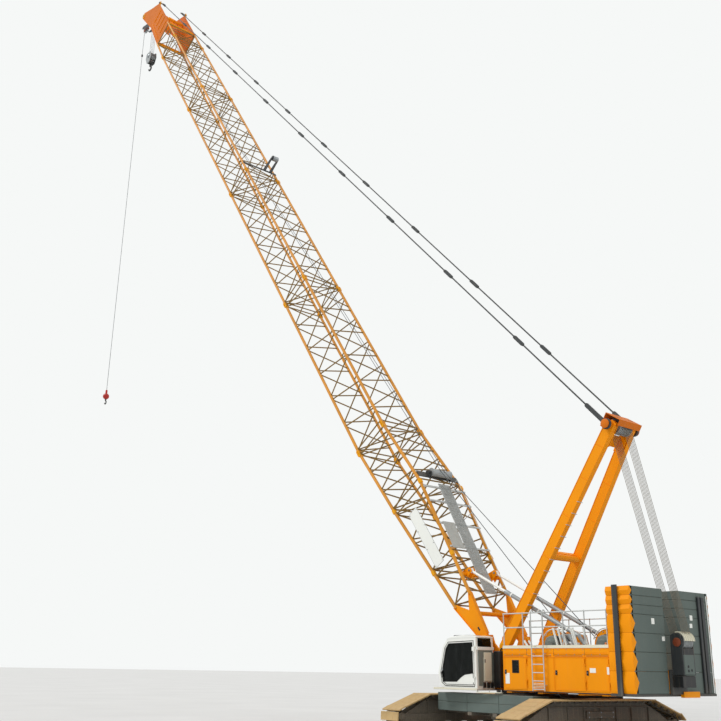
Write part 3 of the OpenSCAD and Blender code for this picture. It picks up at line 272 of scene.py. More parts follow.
@dataclass(frozen=True)
class Coat(Finish):
    """A painted, cast, woven or bare surface that has been out in the weather."""

    name: str
    paint: str
    slot: str
    gloss: float = 0.42
    metallic: float = 0.0
    fade: float = 0.1
    dust: float = 0.25
    streaks: float = 0.15
    chips: float = 0.15
    low_dust: float = 0.0
    dust_tone: str = "8f8371"
    under: str = "3a2a20"
    clear: float = 0.0
    bump: float = 0.25
    specular: float = 0.4
    relief: Relief = Relief.NONE

    def shader(self, g: Graph) -> Socket:
        """Build the coat's shader from the weather group and the coat's relief."""
        weather = g.add("ShaderNodeGroup", node_tree=WEATHER)
        for socket in weather.inputs:
            value = getattr(self, socket.name)
            socket.default_value = linear(value) if isinstance(value, str) else value
        colour = weather.outputs["Colour"]
        height = self.relief_height(g, weather.outputs["Height"])
        # On ropes and woven cloth the colour is lightened by the relief's height. This paints highlight on the raised
        # strands and ribs and leaves painted shade in the grooves between them. On the ropes it also stands for
        # crowns rubbed bright.
        if self.relief in (Relief.ROPE, Relief.WEAVE):
            colour = g.mix(g.math("MULTIPLY", height, 0.35), colour, linear("c8c8c4"), "SOFT_LIGHT")
        bump = g.add("ShaderNodeBump", {"Height": height, "Strength": self.bump, "Distance": 0.004})
        shader = g.add(
            "ShaderNodeBsdfPrincipled",
            {
                "Base Color": colour,
                "Roughness": weather.outputs["Roughness"],
                "Metallic": self.metallic,
                "Coat Weight": self.clear,
                "Coat Roughness": 0.2,
                "Specular IOR Level": self.specular,
                "Normal": bump.outputs[0],
            },
        )
        return shader.outputs[0]

    def relief_height(self, g: Graph, grain: Socket) -> Socket:
        """Add the coat's relief to its grain.

        Args:
            g: The material's graph.
            grain: The grain's height.

        Returns:
            The height that the bump reads.
        """
        if self.relief is Relief.TREAD:
            ribs = g.add("ShaderNodeGroup", node_tree=LINES)
            ribs.inputs["Spacing"].default_value, ribs.inputs["Sharpness"].default_value = 0.06, 6.0
            return g.math("ADD", grain, g.math("MULTIPLY", ribs.outputs[0], 1.2))
        if self.relief is Relief.WEAVE:
            ribs = g.add("ShaderNodeGroup", node_tree=LINES)
            ribs.inputs["Spacing"].default_value = 0.006
            return g.math("ADD", g.math("MULTIPLY", grain, 0.3), ribs.outputs[0])
        if self.relief is Relief.ROPE:
            twist = g.add("ShaderNodeGroup", node_tree=STRANDS)
            return g.math("ADD", g.math("MULTIPLY", grain, 0.3), twist.outputs[0])
        return grain


@dataclass(frozen=True)
class Glass(Finish):
    """Tinted window glass with a little dust on it."""

    name: str = "Tinted window glass"
    tint: str = "2c332f"
    slot: str = "cab_window"

    def shader(self, g: Graph) -> Socket:
        """Build the glass's shader."""
        smear = g.noise(g.stretched(g.place(), (3.0, 3.0, 1.0)), 2.0, 6.0)
        colour = g.mix(g.span(smear, 0.45, 0.8, 0.0, 0.35), linear(self.tint), linear("8b9090"))
        shader = g.add(
            "ShaderNodeBsdfPrincipled",
            {
                "Base Color": colour,
                "Roughness": g.span(smear, 0.4, 0.8, 0.02, 0.14),
                "Transmission Weight": 0.85,
                "IOR": 1.2,
            },
        )
        return shader.outputs[0]


ORANGE = Coat("Orange paint", "fc9c00", "orange_paint", gloss=0.5, fade=0.05, dust=0.08, streaks=0.04, specular=0.16)
# The chords' real orange paint is browned as painted shade of the backlit upper boom.
SHADED_CHORD = Coat("Boom chord paint browned as shade", "dd9426", "orange_paint", gloss=0.45, fade=0.14, dust=0.25, streaks=0.2,
             specular=0.3)
# The lacing's orange paint is darkened to brown as painted shade of the backlit boom; its chips and streaks are real
# wear.
SHADED_LACING = Coat("Lacing paint darkened as shade", "8f7342", "orange_paint", gloss=0.55, fade=0.14, dust=0.25, streaks=0.3, chips=0.5,
              specular=0.16)
CAST_ORANGE = Coat("Forged connector paint", "f2a812", "orange_paint", gloss=0.5, chips=0.4, dust=0.15, specular=0.16)
HEAD_ORANGE = Coat("Head plate paint", "dc7410", "orange_paint", gloss=0.55, chips=0.4, dust=0.15, specular=0.16)
RUST_ORANGE = Coat("Worn red-brown paint", "8a4122", "orange_paint", gloss=0.6, chips=0.6, streaks=0.4)
WHITE = Coat("White paint", "f6f8f2", "white_paint", gloss=0.35, fade=0.03, dust=0.08, streaks=0.05,
             dust_tone="b4b5aa", clear=0.2)
CREAM = Coat("Cream panel paint", "e6e2cc", "white_paint", gloss=0.45, fade=0.05, dust=0.15, streaks=0.08,
             dust_tone="b0ad9c")
SLAB = Coat("Slab paint", "616d68", "slab_paint", gloss=0.7, streaks=0.1, bump=0.5)
RAIL = Coat("Galvanised rail", "c3c6c4", "rail_paint", gloss=0.45, metallic=0.35, dust=0.15)
TREAD = Coat("Tread plate", "b9bbb6", "rail_paint", gloss=0.5, metallic=0.3, dust=0.5, relief=Relief.TREAD, bump=0.6)
DARK = Coat("Dark machine paint", "34383a", "dark_paint", gloss=0.5, dust=0.45, streaks=0.3, chips=0.4, low_dust=0.75)
GRIME = Coat("Oily black steel", "1d1e1f", "dark_paint", gloss=0.4, dust=0.3, streaks=0.2, chips=0.2)
SHOE = Coat("Dusty track steel", "c6a873", "track_steel", gloss=0.75, fade=0.22, dust=0.75, streaks=0.25, chips=0.7,
            low_dust=0.5, dust_tone="c2a67a", under="4a3b2c", bump=0.7)
BRIGHT = Coat("Worn bright steel", "8f9396", "bright_steel", gloss=0.32, metallic=0.85, fade=0.15, dust=0.2)
SILVER = Coat("Silver paint", "a3a8a9", "bright_steel", metallic=0.45, dust=0.2)
ROPE = Coat("Wire rope", "5b5f62", "rope_steel", gloss=0.45, metallic=0.6, dust=0.1, relief=Relief.ROPE, bump=0.9)
PENDANT = Coat("Pendant steel", "46494a", "rope_steel", gloss=0.5, metallic=0.4, dust=0.15, streaks=0.2)
RED = Coat("Red paint", "b3241c", "red_paint", gloss=0.4, chips=0.5, dust=0.2)
RUBBER = Coat("Black rubber", "1b1b1c", "dark_paint", gloss=0.65, dust=0.2, streaks=0.05, chips=0.0)
CLOTH = Coat("Seat cloth", "26282c", "seat_cloth", gloss=0.85, dust=0.1, streaks=0.0, chips=0.0, relief=Relief.WEAVE)
TRIM = Coat("Grey moulded trim", "78807a", "dark_paint", gloss=0.55, dust=0.1, streaks=0.05, chips=0.0,
            dust_tone="8d8f88")
AMBER = Coat("Amber lens", "e07a10", "red_paint", gloss=0.2, dust=0.1, streaks=0.0, chips=0.0, clear=0.6)
GLASS = Glass()


# Modelling


def deselect() -> None:
    """Leave edit mode and select nothing."""
    if bpy.context.object and bpy.context.object.mode != "OBJECT":
        bpy.ops.object.mode_set(mode="OBJECT")
    bpy.ops.object.select_all(action="DESELECT")


def settle(shape: Shape) -> Shape:
    """Put a new primitive's place, turn and size into its mesh."""
    bpy.ops.object.transform_apply(location=True, rotation=True, scale=True)
    return shape


def edit(action: str = "SELECT", kind: str = "") -> None:
    """Go into edit mode and select all or nothing.

    Args:
        action: SELECT or DESELECT.
        kind: What is picked, EDGE or FACE, or nothing to leave that as it is.
    """
    bpy.ops.object.mode_set(mode="EDIT")
    bpy.ops.mesh.select_all(action=action)
    if kind:
        bpy.ops.mesh.select_mode(type=kind)


def leave() -> None:
    """Go back to object mode."""
    bpy.ops.object.mode_set(mode="OBJECT")


def soften(shape: Shape, width: float) -> Shape:
    """Bevel a shape's sharp edges.

    Args:
        shape: The active shape.
        width: The bevel's width, or 0 for none.

    Returns:
        The same shape.
    """
    if width > 0:
        edit("DESELECT", "EDGE")
        bpy.ops.mesh.edges_select_sharp(sharpness=SHARP)
        bpy.ops.mesh.bevel(offset=width, segments=1, clamp_overlap=True)
        leave()
    return shape


def block(low: Triple, high: Triple, bevel: float = 0.004) -> Shape:
    """A block between two corners, with bevelled edges.

    Args:
        low: One corner.
        high: The opposite corner.
        bevel: The bevel's width.

    Returns:
        The block.
    """
    deselect()
    a, b = Vector(low), Vector(high)
    bpy.ops.mesh.primitive_cube_add(size=1, location=(a + b) / 2)
    shape = bpy.context.object
    shape.scale = [abs(n) for n in b - a]
    return soften(settle(shape), bevel)


def rod(a: Triple, b: Triple, radius: float, sides: int = 16, bevel: float = 0.0) -> Shape:
    """A round bar between two points.

    Args:
        a: One end.
        b: The other end.
        radius: Its radius.
        sides: The faces round it.
        bevel: The width of its ends' bevels.

    Returns:
        The bar.
    """
    deselect()
    start, end = Vector(a), Vector(b)
    turn = (end - start).to_track_quat("Z", "Y").to_euler()
    bpy.ops.mesh.primitive_cylinder_add(
        vertices=sides, radius=radius, depth=(end - start).length, location=(start + end) / 2, rotation=turn
    )
    return soften(settle(bpy.context.object), bevel)


def cross_rod(x: float, z: float, radius: float, width: float, y: float = 0.0, sides: int = 20) -> Shape:
    """A round bar along Y, centred on y, with bevelled ends."""
    return rod((x, y - width / 2, z), (x, y + width / 2, z), radius, sides, min(0.006, radius * 0.2))


def sheet_plate(outline: Sequence[Pair], thick: float, y: float = 0.0, bevel: float = 0.003) -> Shape:
    """A flat plate in the XZ plane, centred on y, from its outline.

    Args:
        outline: Points as (x, z), in order.
        thick: The plate's thickness along Y.
        y: The plate's middle.
        bevel: The width of the bevel along its edges.

    Returns:
        The plate.
    """
    deselect()
    bpy.ops.mesh.primitive_circle_add(vertices=len(outline), radius=1, fill_type="NGON")
    shape = bpy.context.object
    for vertex, (x, z) in zip(shape.data.vertices, outline):
        vertex.co = (x, y - thick / 2, z)
    edit()
    bpy.ops.mesh.extrude_region_move(TRANSFORM_OT_translate={"value": (0, thick, 0)})
    bpy.ops.mesh.select_all(action="SELECT")
    bpy.ops.mesh.normals_make_consistent(inside=False)
    leave()
    return soften(shape, bevel)


def lathe(profile: Sequence[Pair], place: Matrix = UNMOVED, steps: int = 32) -> Shape:
    """A ring turned about Z from a closed profile.

    Args:
        profile: Points as (radius, height), in order round the section.
        place: Where the ring goes, and how it is turned.
        steps: The number of steps round.

    Returns:
        The ring.
    """
    deselect()
    bpy.ops.mesh.primitive_circle_add(vertices=len(profile), radius=1, fill_type="NOTHING")
    shape = bpy.context.object
    for vertex, (radius, height) in zip(shape.data.vertices, profile):
        vertex.co = (radius, 0, height)
    edit()
    bpy.ops.mesh.spin(steps=steps, angle=tau, center=(0, 0, 0), axis=(0, 0, 1))
    bpy.ops.mesh.select_all(action="SELECT")
    bpy.ops.mesh.remove_doubles(threshold=0.0001)
    bpy.ops.mesh.normals_make_consistent(inside=False)
    leave()
    shape.data.transform(place)
    return shape


def along_y(x: float, z: float, y: float = 0.0) -> Matrix:
    """A place whose Z axis points along Y."""
    return moved((x, y, z)) @ Matrix.Rotation(-pi / 2, 4, "X")


def sheave(x: float, z: float, radius: float, width: float, y: float = 0.0, bore: float = 0.05) -> Shape:
    """A rope sheave about Y: hub, dished web and grooved rim.

    Args:
        x: Its axle's X.
        z: Its axle's Z.
        radius: Its outer radius.
        width: Its width.
        y: Its middle.
        bore: Its bore's radius.

    Returns:
        The sheave.
    """
    h, rim = width / 2, radius * 0.17
    web = h * 0.45
    half = [
        (bore, -h), (bore + radius * 0.14, -h), (bore + radius * 0.18, -web), (radius - rim * 1.4, -web),
        (radius - rim, -h * 0.9), (radius, -h), (radius - rim * 0.25, -h * 0.5), (radius - rim * 0.5, 0),
    ]
    other = [(r, -v) for r, v in reversed(half[:-1])]
    return lathe(half + other, along_y(x, z, y), 36)


def tube(points: Sequence[Triple], radius: float, sides: int = 8, smooth: bool = True) -> Shape:
    """A rope, hose or bent bar along points, with its run and turn in a UV map.

    Args:
        points: The points that it passes through.
        radius: Its radius.
        sides: The faces round it.
        smooth: Whether it bends smoothly between the points.

    Returns:
        The tube as a mesh.
    """
    deselect()
    curve = bpy.data.curves.new("tube", "CURVE")
    curve.dimensions = "3D"
    curve.bevel_depth = radius
    curve.bevel_resolution = max(0, sides // 4 - 1) if sides > 4 else 0
    curve.use_fill_caps = True
    curve.resolution_u = 8
    spline = curve.splines.new("BEZIER" if smooth and len(points) > 2 else "POLY")
    if spline.type == "BEZIER":
        spline.bezier_points.add(len(points) - 1)
        for knot, point in zip(spline.bezier_points, points):
            knot.co = point
            knot.handle_left_type = knot.handle_right_type = "AUTO"
    else:
        spline.points.add(len(points) - 1)
        for knot, point in zip(spline.points, points):
            knot.co = (*point, 1.0)
    shape = bpy.data.objects.new("tube", curve)
    bpy.context.scene.collection.objects.link(shape)
    shape.select_set(True)
    bpy.context.view_layer.objects.active = shape
    bpy.ops.object.convert(target="MESH")
    shape = bpy.context.object
    run_uv(shape, Vector(points[0]), Vector(points[-1]))
    return shape


def run_uv(shape: Shape, start: Vector, end: Vector) -> None:
    """Write how far along and round each corner of a bar lies into its UV map.

    Args:
        shape: The bar.
        start: Its first end.
        end: Its other end.
    """
    axis = (end - start).normalized()
    side = axis.orthogonal().normalized()
    other = axis.cross(side)
    layer = shape.data.uv_layers.active or shape.data.uv_layers.new(name="UVMap")
    for loop in shape.data.loops:
        offset = shape.data.vertices[loop.vertex_index].co - start
        turn = atan2(offset.dot(other), offset.dot(side)) / tau
        layer.data[loop.index].uv = (turn, offset.dot(axis))


def join(shapes: Sequence[Shape]) -> Shape:
    """Join shapes into the first one.

    Args:
        shapes: The shapes.

    Returns:
        The first one, with the others in it.
    """
    deselect()
    for shape in shapes:
        shape.select_set(True)
    bpy.context.view_layer.objects.active = shapes[0]
    if len(shapes) > 1:
        bpy.ops.object.join()
    return shapes[0]


def copied(shape: Shape, places: Iterable[Matrix]) -> Shape:
    """Copy a shape to each place, each copy with its own mesh, and join the copies.

    Args:
        shape: What is copied, which is then removed.
        places: The copies' places.

    Returns:
        The copies as one shape.
    """
    made = []
    for place in places:
        twin = shape.copy()
        twin.data = shape.data.copy()
        twin.data.transform(place)
        if place.determinant() < 0:
            twin.data.flip_normals()
        bpy.context.scene.collection.objects.link(twin)
        made.append(twin)
    bpy.data.objects.remove(shape)
    return join(made)


def bars(runs: Iterable[tuple[Triple, Triple]], radius: float, sides: int = 10) -> Shape:
    """Many round bars of one radius, copied from one bar of unit length.

    Args:
        runs: Each bar's two ends.
        radius: Their radius.
        sides: The faces round each.

    Returns:
        All the bars as one shape.
    """
    unit = rod((0, 0, 0), (0, 0, 1), radius, sides)
    places = []
    for start, end in runs:
        way = Vector(end) - Vector(start)
        places.append(facing(start, way) @ Matrix.Diagonal((1, 1, way.length, 1)))
    return copied(unit, places)


def cut(shape: Shape, tool: Shape, keep_tool: bool = False) -> Shape:
    """Cut one shape out of another with an applied boolean.

    Args:
        shape: What is cut.
        tool: What is taken out.
        keep_tool: Whether the tool stays.

    Returns:
        The cut shape.
    """
    deselect()
    bpy.context.view_layer.objects.active = shape
    step = shape.modifiers.new("cut", "BOOLEAN")
    step.object, step.operation, step.solver = tool, "DIFFERENCE", "EXACT"
    bpy.ops.object.modifier_apply(modifier=step.name)
    if not keep_tool:
        bpy.data.objects.remove(tool)
    return shape


def arc(x: float, z: float, radius: float, degrees: Iterable[float], height: float | None = None) -> list[Pair]:
    """Points on a circle, or on an ellipse of another height.

    Args:
        x: The middle's first coordinate.
        z: The middle's second coordinate.
        radius: The circle's radius, or the ellipse's half width.
        degrees: Each point's angle.
        height: The ellipse's half height.

    Returns:
        The points, in the angles' order.
    """
    turns = [radians(d) for d in degrees]
    return [(x + radius * cos(a), z + (height or radius) * sin(a)) for a in turns]


def bolts(places: Iterable[Matrix], size: float = 0.012) -> Shape:
    """Hexagon bolt heads on washers, each at a place whose Z points out of the surface."""
    head = rod((0, 0, 0.002), (0, 0, size * 0.75), size, 6, size * 0.12)
    washer = rod((0, 0, 0), (0, 0, 0.0025), size * 1.45, 12)
    return copied(join([head, washer]), places)


def facing(point: Triple, normal: Triple) -> Matrix:
    """A place at a point whose Z axis follows a normal."""
    return moved(point) @ Vector(normal).to_track_quat("Z", "Y").to_matrix().to_4x4()


@dataclass
class Piece:
    """One named piece of the crane, gathered from shapes."""

    name: str
    body: str
    place: Matrix = field(default_factory=lambda: UNMOVED.copy())
    angle: float = 32.0
    flip: bool = False
    shapes: list[Shape] = field(default_factory=list)

    def add(self, shape: Shape | list[Shape], finish: Finish) -> None:
        """Add a shape in one finish, mirrored if the piece is.

        Args:
            shape: The shape, or the shapes that are joined into it.
            finish: What it is finished in.
        """
        whole = join(shape) if isinstance(shape, list) else shape
        if self.flip:
            whole = copied(whole, (MIRROR,))
        whole.data.materials.clear()
        whole.data.materials.append(finish.material())
        whole["slot"] = finish.slot
        self.shapes.append(whole)

    def pair(self, shape: Shape | list[Shape], finish: Finish) -> None:
        """Add a shape and its mirror image across the machine's centre plane.

        Args:
            shape: The shape, or the shapes that are joined into it.
            finish: What both are finished in.
        """
        whole = join(shape) if isinstance(shape, list) else shape
        self.add(copied(whole, (UNMOVED, MIRROR)), finish)

    def done(self, *nodes: str) -> Shape:
        """Join the shapes, put them in place and let them ride on the body.

        Args:
            *nodes: The CAD nodes that this piece stands for.

        Returns:
            The finished piece.
        """
        piece, slot = self.gathered()
        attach(piece, self.body)
        if nodes:
            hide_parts(*nodes)
        return piece

    def gathered(self) -> tuple[Shape, str]:
        """Join the shapes, put them in place and name them.

        Returns:
            The piece and its material slot.
        """
        slot = self.shapes[0]["slot"]
        piece = join(self.shapes)
        piece.data.transform(self.place)
        if self.place.determinant() < 0:
            piece.data.flip_normals()
        bpy.ops.object.shade_smooth_by_angle(angle=radians(self.angle))
        piece.name = piece.data.name = self.name
        log.info("%s: %d faces, goes with %s", self.name, len(piece.data.polygons), self.body)
        return piece, slot

    def bent(self) -> None:
        """Join the shapes and bake their place into the mesh, leaving them on no body.
        """
        piece, slot = self.gathered()
        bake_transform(piece)


# The lattice boom


def capsule(x0: float, x1: float, z: float, radius: float, steps: int = 6) -> list[Pair]:
    """The outline of a bar with round ends, as (x, z) points."""
    turns = [pi * (k / steps - 0.5) for k in range(steps + 1)]
    right = [(x1 + radius * cos(a), z + radius * sin(a)) for a in turns]
    return right + [(x0 - radius * cos(a), z - radius * sin(a)) for a in turns]


@dataclass
class Boom:
    """The pinned lattice boom, in its own frame: X along it and Z towards its back."""

    pin: Triple = (0.510, 0.0, 1.668)
    angle: float = 55.0
    low: float = -0.775
    high: float = 0.275
    half: float = 0.625
    chord: float = 0.038
    lace: float = 0.017
    foot: float = 6.0
    insert: float = 6.0
    top: float = 4.5
    length: float = 32.5
    leg_y: float = 0.59
    axle_n: float = -0.7
    whip_s: float = 33.2
    whip_n: float = -1.42

    def place(self) -> Matrix:
        """Where the boom's own frame lies on the crane."""
        return moved(self.pin) @ Matrix.Rotation(radians(-self.angle), 4, "Y")

    def point(self, s: float, n: float, y: float = 0.0) -> Vector:
        """A point of the boom's frame, on the crane."""
        return self.place() @ Vector((s, y, n))

    def lattice(self, piece: Piece, first: Sequence[float], last: Sequence[float], panels: int) -> None:
        """Add chords and lacing between two frames.

        Args:
            piece: The piece that gets them.
            first: The first frame as (s, half width, lower n, upper n).
            last: The last frame, in the same form.
            panels: The lacing panels between them.
        """

        def at(t: float, side: int, level: int) -> Vector:
            a, b = Vector(first), Vector(last)
            frame_at = a.lerp(b, t)
            return Vector((frame_at[0], side * frame_at[1], frame_at[2] if level < 0 else frame_at[3]))

        corners = [(side, level) for side in (-1, 1) for level in (-1, 1)]
        piece.add(bars([(at(0, *c), at(1, *c)) for c in corners], self.chord, 16), SHADED_CHORD)
        laces: list[tuple[Vector, Vector]] = []
        for k in range(panels):
            t0, tm, t1 = (k + 0.06) / panels, (k + 0.5) / panels, (k + 0.94) / panels
            gap = 0.04 / panels
            for side in (-1, 1):
                laces += [(at(t0, side, -1), at(tm - gap, side, 1)), (at(tm + gap, side, 1), at(t1, side, -1))]
                level = side
                laces += [(at(t0 + gap / 2, -level, level), at(tm - gap * 1.5, level, level)),
                          (at(tm + gap * 1.5, level, level), at(t1 - gap / 2, -level, level))]
        inward = 0.098 / (last[0] - first[0])
        for t in (inward, 1 - inward):
            laces += [(at(t, 1, -1), at(t, 1, 1)), (at(t, -1, -1), at(t, -1, 1)), (at(t, 1, -1), at(t, -1, -1)),
                      (at(t, 1, 1), at(t, -1, 1)), (at(t, 1, -1), at(t, -1, 1))]
        piece.add(bars(laces, self.lace, 10), SHADED_LACING)
        collars = []
        for a, b in laces:
            near, far = (b - a).normalized() * 0.04, (b - a).normalized() * 0.056
            collars += [(a + near, a + far), (b - far, b - near)]
        piece.add(bars(collars, self.lace * 1.28, 10), SHADED_LACING)

    def joint(self, piece: Piece, s: float) -> None:
        """Add the pinned forks of the four chords at a section's end.

        Args:
            piece: The piece that gets them.
            s: How far along the boom the joint lies.
        """
        cheek = sheet_plate(capsule(s - 0.11, s + 0.012, 0, 0.043), 0.016, 0.046, 0.003)
        cheek = copied(cheek, (UNMOVED, MIRROR))
        lug = block((s - 0.13, -0.039, -0.042), (s - 0.068, 0.039, 0.042), 0.006)
        pins = [rod((x, -0.066, 0), (x, 0.066, 0), 0.02, 14, 0.004) for x in (s - 0.045, s + 0.018)]
        clip = tube([(s - 0.05, 0.062, -0.03), (s - 0.06, 0.064, 0.0), (s - 0.045, 0.062, 0.034)], 0.003, 4)
        fork = join([cheek, lug, *pins, clip])
        seats = [moved((0, side * self.half, n)) for side in (-1, 1) for n in (self.low, self.high)]
        piece.add(copied(fork, seats), CAST_ORANGE)

    def plate_set(self, piece: Piece) -> None:
        """Add the foot's leg plates with their bosses, flanges and a small dark plate."""
        outline = [(-0.04, -0.095), (0.03, -0.098), (1.04, -0.362), (1.06, -0.28), (0.75, -0.04),
                   (1.06, 0.14), (1.04, 0.212), (0.04, 0.096), (-0.06, 0.08)]
        piece.pair(sheet_plate(outline, 0.036, self.leg_y, 0.005), ORANGE)
        edges = [((0.09, -0.12), (1.04, -0.355)), ((0.09, 0.098), (1.04, 0.205))]
        flanges = []
        for (xa, za), (xb, zb) in edges:
            way = Vector((xb - xa, 0, zb - za)).normalized() * 0.006
            off = Vector((-way.z, 0, way.x))
            line = [(xa + off.x, za + off.z), (xb + off.x, zb + off.z), (xb - off.x, zb - off.z),
                    (xa - off.x, za - off.z)]
            flanges.append(sheet_plate(line, 0.09, self.leg_y, 0.002))
        piece.pair(flanges, ORANGE)
        boss = [(0.0455, -0.04), (0.09, -0.04), (0.098, -0.032), (0.098, 0.032), (0.09, 0.04), (0.0455, 0.04)]
        piece.pair(lathe(boss, along_y(0, 0, self.leg_y), 40), CAST_ORANGE)
        piece.pair(block((0.25, self.leg_y + 0.014, -0.055), (0.33, self.leg_y + 0.022, -0.015), 0.003), GRIME)

    def foot_section(self) -> None:
        """Build the tapered foot section."""
        piece = Piece("boom_foot_lattice", "boom", self.place())
        f0, f1 = (1.0, self.leg_y + 0.004, -0.32, 0.17), (2.0, self.leg_y + 0.012, -0.42, self.high - 0.012)
        bend, f2 = (3.9, 0.655, -0.5886, 0.465), (self.foot, self.half, self.low, self.high)
        self.lattice(piece, f0, f1, 1)
        self.lattice(piece, f1, bend, 2)
        self.lattice(piece, bend, f2, 3)
        for s, half, *levels in (f1, bend):
            for y in (-half, half):
                for n in levels:
                    piece.add(block((s - 0.06, y - 0.043, n - 0.043), (s + 0.06, y + 0.043, n + 0.043), 0.012),
                              CAST_ORANGE)
        self.plate_set(piece)
        piece.add(cross_rod(0.7, -0.06, 0.045, 2 * self.leg_y), ORANGE)
        piece.add(cross_rod(1.5, 0.19, 0.045, 2 * self.leg_y), ORANGE)
        lug = [(1.39, 0.15), (1.61, 0.15), (1.555, 0.372), (1.53, 0.385), (1.47, 0.385), (1.445, 0.372)]
        for cheek in (-0.052, 0.052):
            piece.pair(sheet_plate(lug, 0.016, 0.39 + cheek), ORANGE)
        piece.pair(cross_rod(1.5, 0.33, 0.0235, 0.15, 0.39), BRIGHT)
        self.joint(piece, self.foot)
        piece.done("boom_foot")

    def inserts(self) -> None:
        """Build the three long inserts and the short top insert."""
        names = ["boom_insert_1", "boom_insert_2", "boom_insert_3", "boom_insert_top"]
        s = self.foot
        for name in names:
            length = self.top if name.endswith("top") else self.insert
            piece = Piece(name + "_lattice", "boom", self.place())
            ends = [(at, self.half, self.low, self.high) for at in (s, s + length)]
            self.lattice(piece, ends[0], ends[1], 4 if name.endswith("top") else 6)
            self.joint(piece, s + length)
            piece.done(name)
            s += length

    def head_section(self) -> None:
        """Build the plated head with its cross tubes, guards and ears."""
        piece = Piece("boom_head_section", "boom", self.place())
        e, y = self.length, self.half - 0.02
        low, high, axle = self.low, self.high, self.axle_n
        start = e - 4.0
        self.lattice(piece, (start, self.half, low, high), (e - 2.75, self.half, low + 0.06, high), 1)
        side = [(e - 2.81, low + 0.01), (e - 1.3, low + 0.12), (e - 0.3, axle - 0.09),
                (e + 0.02, axle - 0.13), (e + 0.11, axle - 0.04), (e + 0.11, axle + 0.11),
                (e - 0.5, -0.06), (e - 0.9, high + 0.06), (e - 2.81, high + 0.05)]
        cheek = sheet_plate(side, 0.04, y, 0.006)
        cut(cheek, rod((e - 1.5, y - 0.1, low + 0.19), (e - 1.5, y + 0.1, low + 0.19), 0.03, 24))
        piece.add(copied(cheek, (MIRROR, UNMOVED)), HEAD_ORANGE)
        inner = [(e - 1.3, low + 0.15), (e - 0.3, axle - 0.06), (e + 0.02, axle - 0.1),
                 (e + 0.09, axle - 0.03), (e + 0.09, axle + 0.09), (e - 0.5, -0.1), (e - 1.3, 0.1)]
        piece.pair(sheet_plate(inner, 0.03, 0.2, 0.004), ORANGE)
        ear = [(e - 1.15, high), (e - 0.85, high), (e - 0.9, high + 0.17),
               (e - 0.93, high + 0.19), (e - 0.98, high + 0.19), (e - 1.01, high + 0.17)]
        piece.pair(sheet_plate(ear, 0.024, y, 0.003), CAST_ORANGE)
        piece.pair(cross_rod(e - 0.95, high + 0.12, 0.03, 0.3, 0.52), BRIGHT)
        for s, n in ((e - 2.69, low + 0.07), (e - 2.69, high - 0.03), (e - 1.2, 0.0), (e - 0.56, -0.18)):
            piece.add(cross_rod(s, n, 0.056, 2 * y), ORANGE)
        piece.add(cross_rod(e, axle, 0.048, 2 * y + 0.06, sides=32), BRIGHT)
        collar = [(0.05, 0), (0.105, 0), (0.105, 0.014), (0.09, 0.022), (0.05, 0.022)]
        piece.pair(lathe(collar, along_y(e, axle, y + 0.02), 32), CAST_ORANGE)
        stiff = [(e - 2.6, low + 0.2), (e - 1.35, low + 0.3), (e - 1.35, low + 0.315), (e - 2.6, low + 0.215)]
        piece.pair(sheet_plate(stiff, 0.05, y + 0.02, 0.002), ORANGE)
        for k in range(4):
            run = e - 2.5 + 0.35 * k
            piece.pair(block((run, y + 0.018, -0.35), (run + 0.012, y + 0.04, high - 0.02), 0.002), ORANGE)
        guard = [(e - 0.02, axle + 0.24), (e + 0.02, axle + 0.24), (e + 0.1, axle + 0.1), (e + 0.06, axle + 0.08)]
        piece.pair(sheet_plate(guard, 0.012, 0.16, 0.002), GRIME)
        lamp = lathe([(0.001, 0), (0.03, 0), (0.035, 0.02), (0.03, 0.06), (0.001, 0.07)],
                     moved((e - 0.9, y, high + 0.06)), 16)
        piece.add(lamp, RED)
        piece.done("boom_head")
        wheels = Piece("head_rope_sheaves", "head_sheaves", self.place())
        for k in (-1.5, -0.5, 0.5, 1.5):
            wheels.add(sheave(e, axle, 0.2, 0.044, k * 0.058, 0.0488), SILVER)
        wheels.done("head_sheaves")

    def whip(self) -> None:
        """Build the auxiliary arm with its sheave and its wedge-shaped guard."""
        piece = Piece("whip_arm_dressed", "boom", self.place())
        e, s, n = self.length, self.whip_s, self.whip_n
        arm = [(e - 0.3, self.axle_n - 0.075), (e - 0.02, self.axle_n + 0.09), (s + 0.05, n + 0.06),
               (s + 0.03, n - 0.06)]
        plate = sheet_plate(arm, 0.02, 0.1745, 0.004)
        cut(plate, rod((e, 0, self.axle_n), (e, 0.4, self.axle_n), 0.0485, 32))
        piece.pair(plate, GRIME)
        piece.add(cross_rod(s, n, 0.026, 0.37), BRIGHT)
        piece.add(cross_rod(e + 0.42, -1.1, 0.026, 0.35), GRIME)
        piece.add(sheave(s, n, 0.15, 0.05, 0, 0.026), SILVER)
        turns = range(-40, 141, 20)
        guard = arc(s, n, 0.185, turns) + arc(s, n, 0.165, reversed(turns))
        piece.add(sheet_plate(guard, 0.1, 0, 0.002), RUST_ORANGE)
        wedge = [(s - 0.1, n + 0.05), (s + 0.03, n - 0.16), (s + 0.17, n - 0.02), (s + 0.12, n + 0.12)]
        for y in (-0.052, 0.052):
            piece.add(sheet_plate(wedge, 0.008, y, 0.002), RUST_ORANGE)
        piece.done("whip_arm")

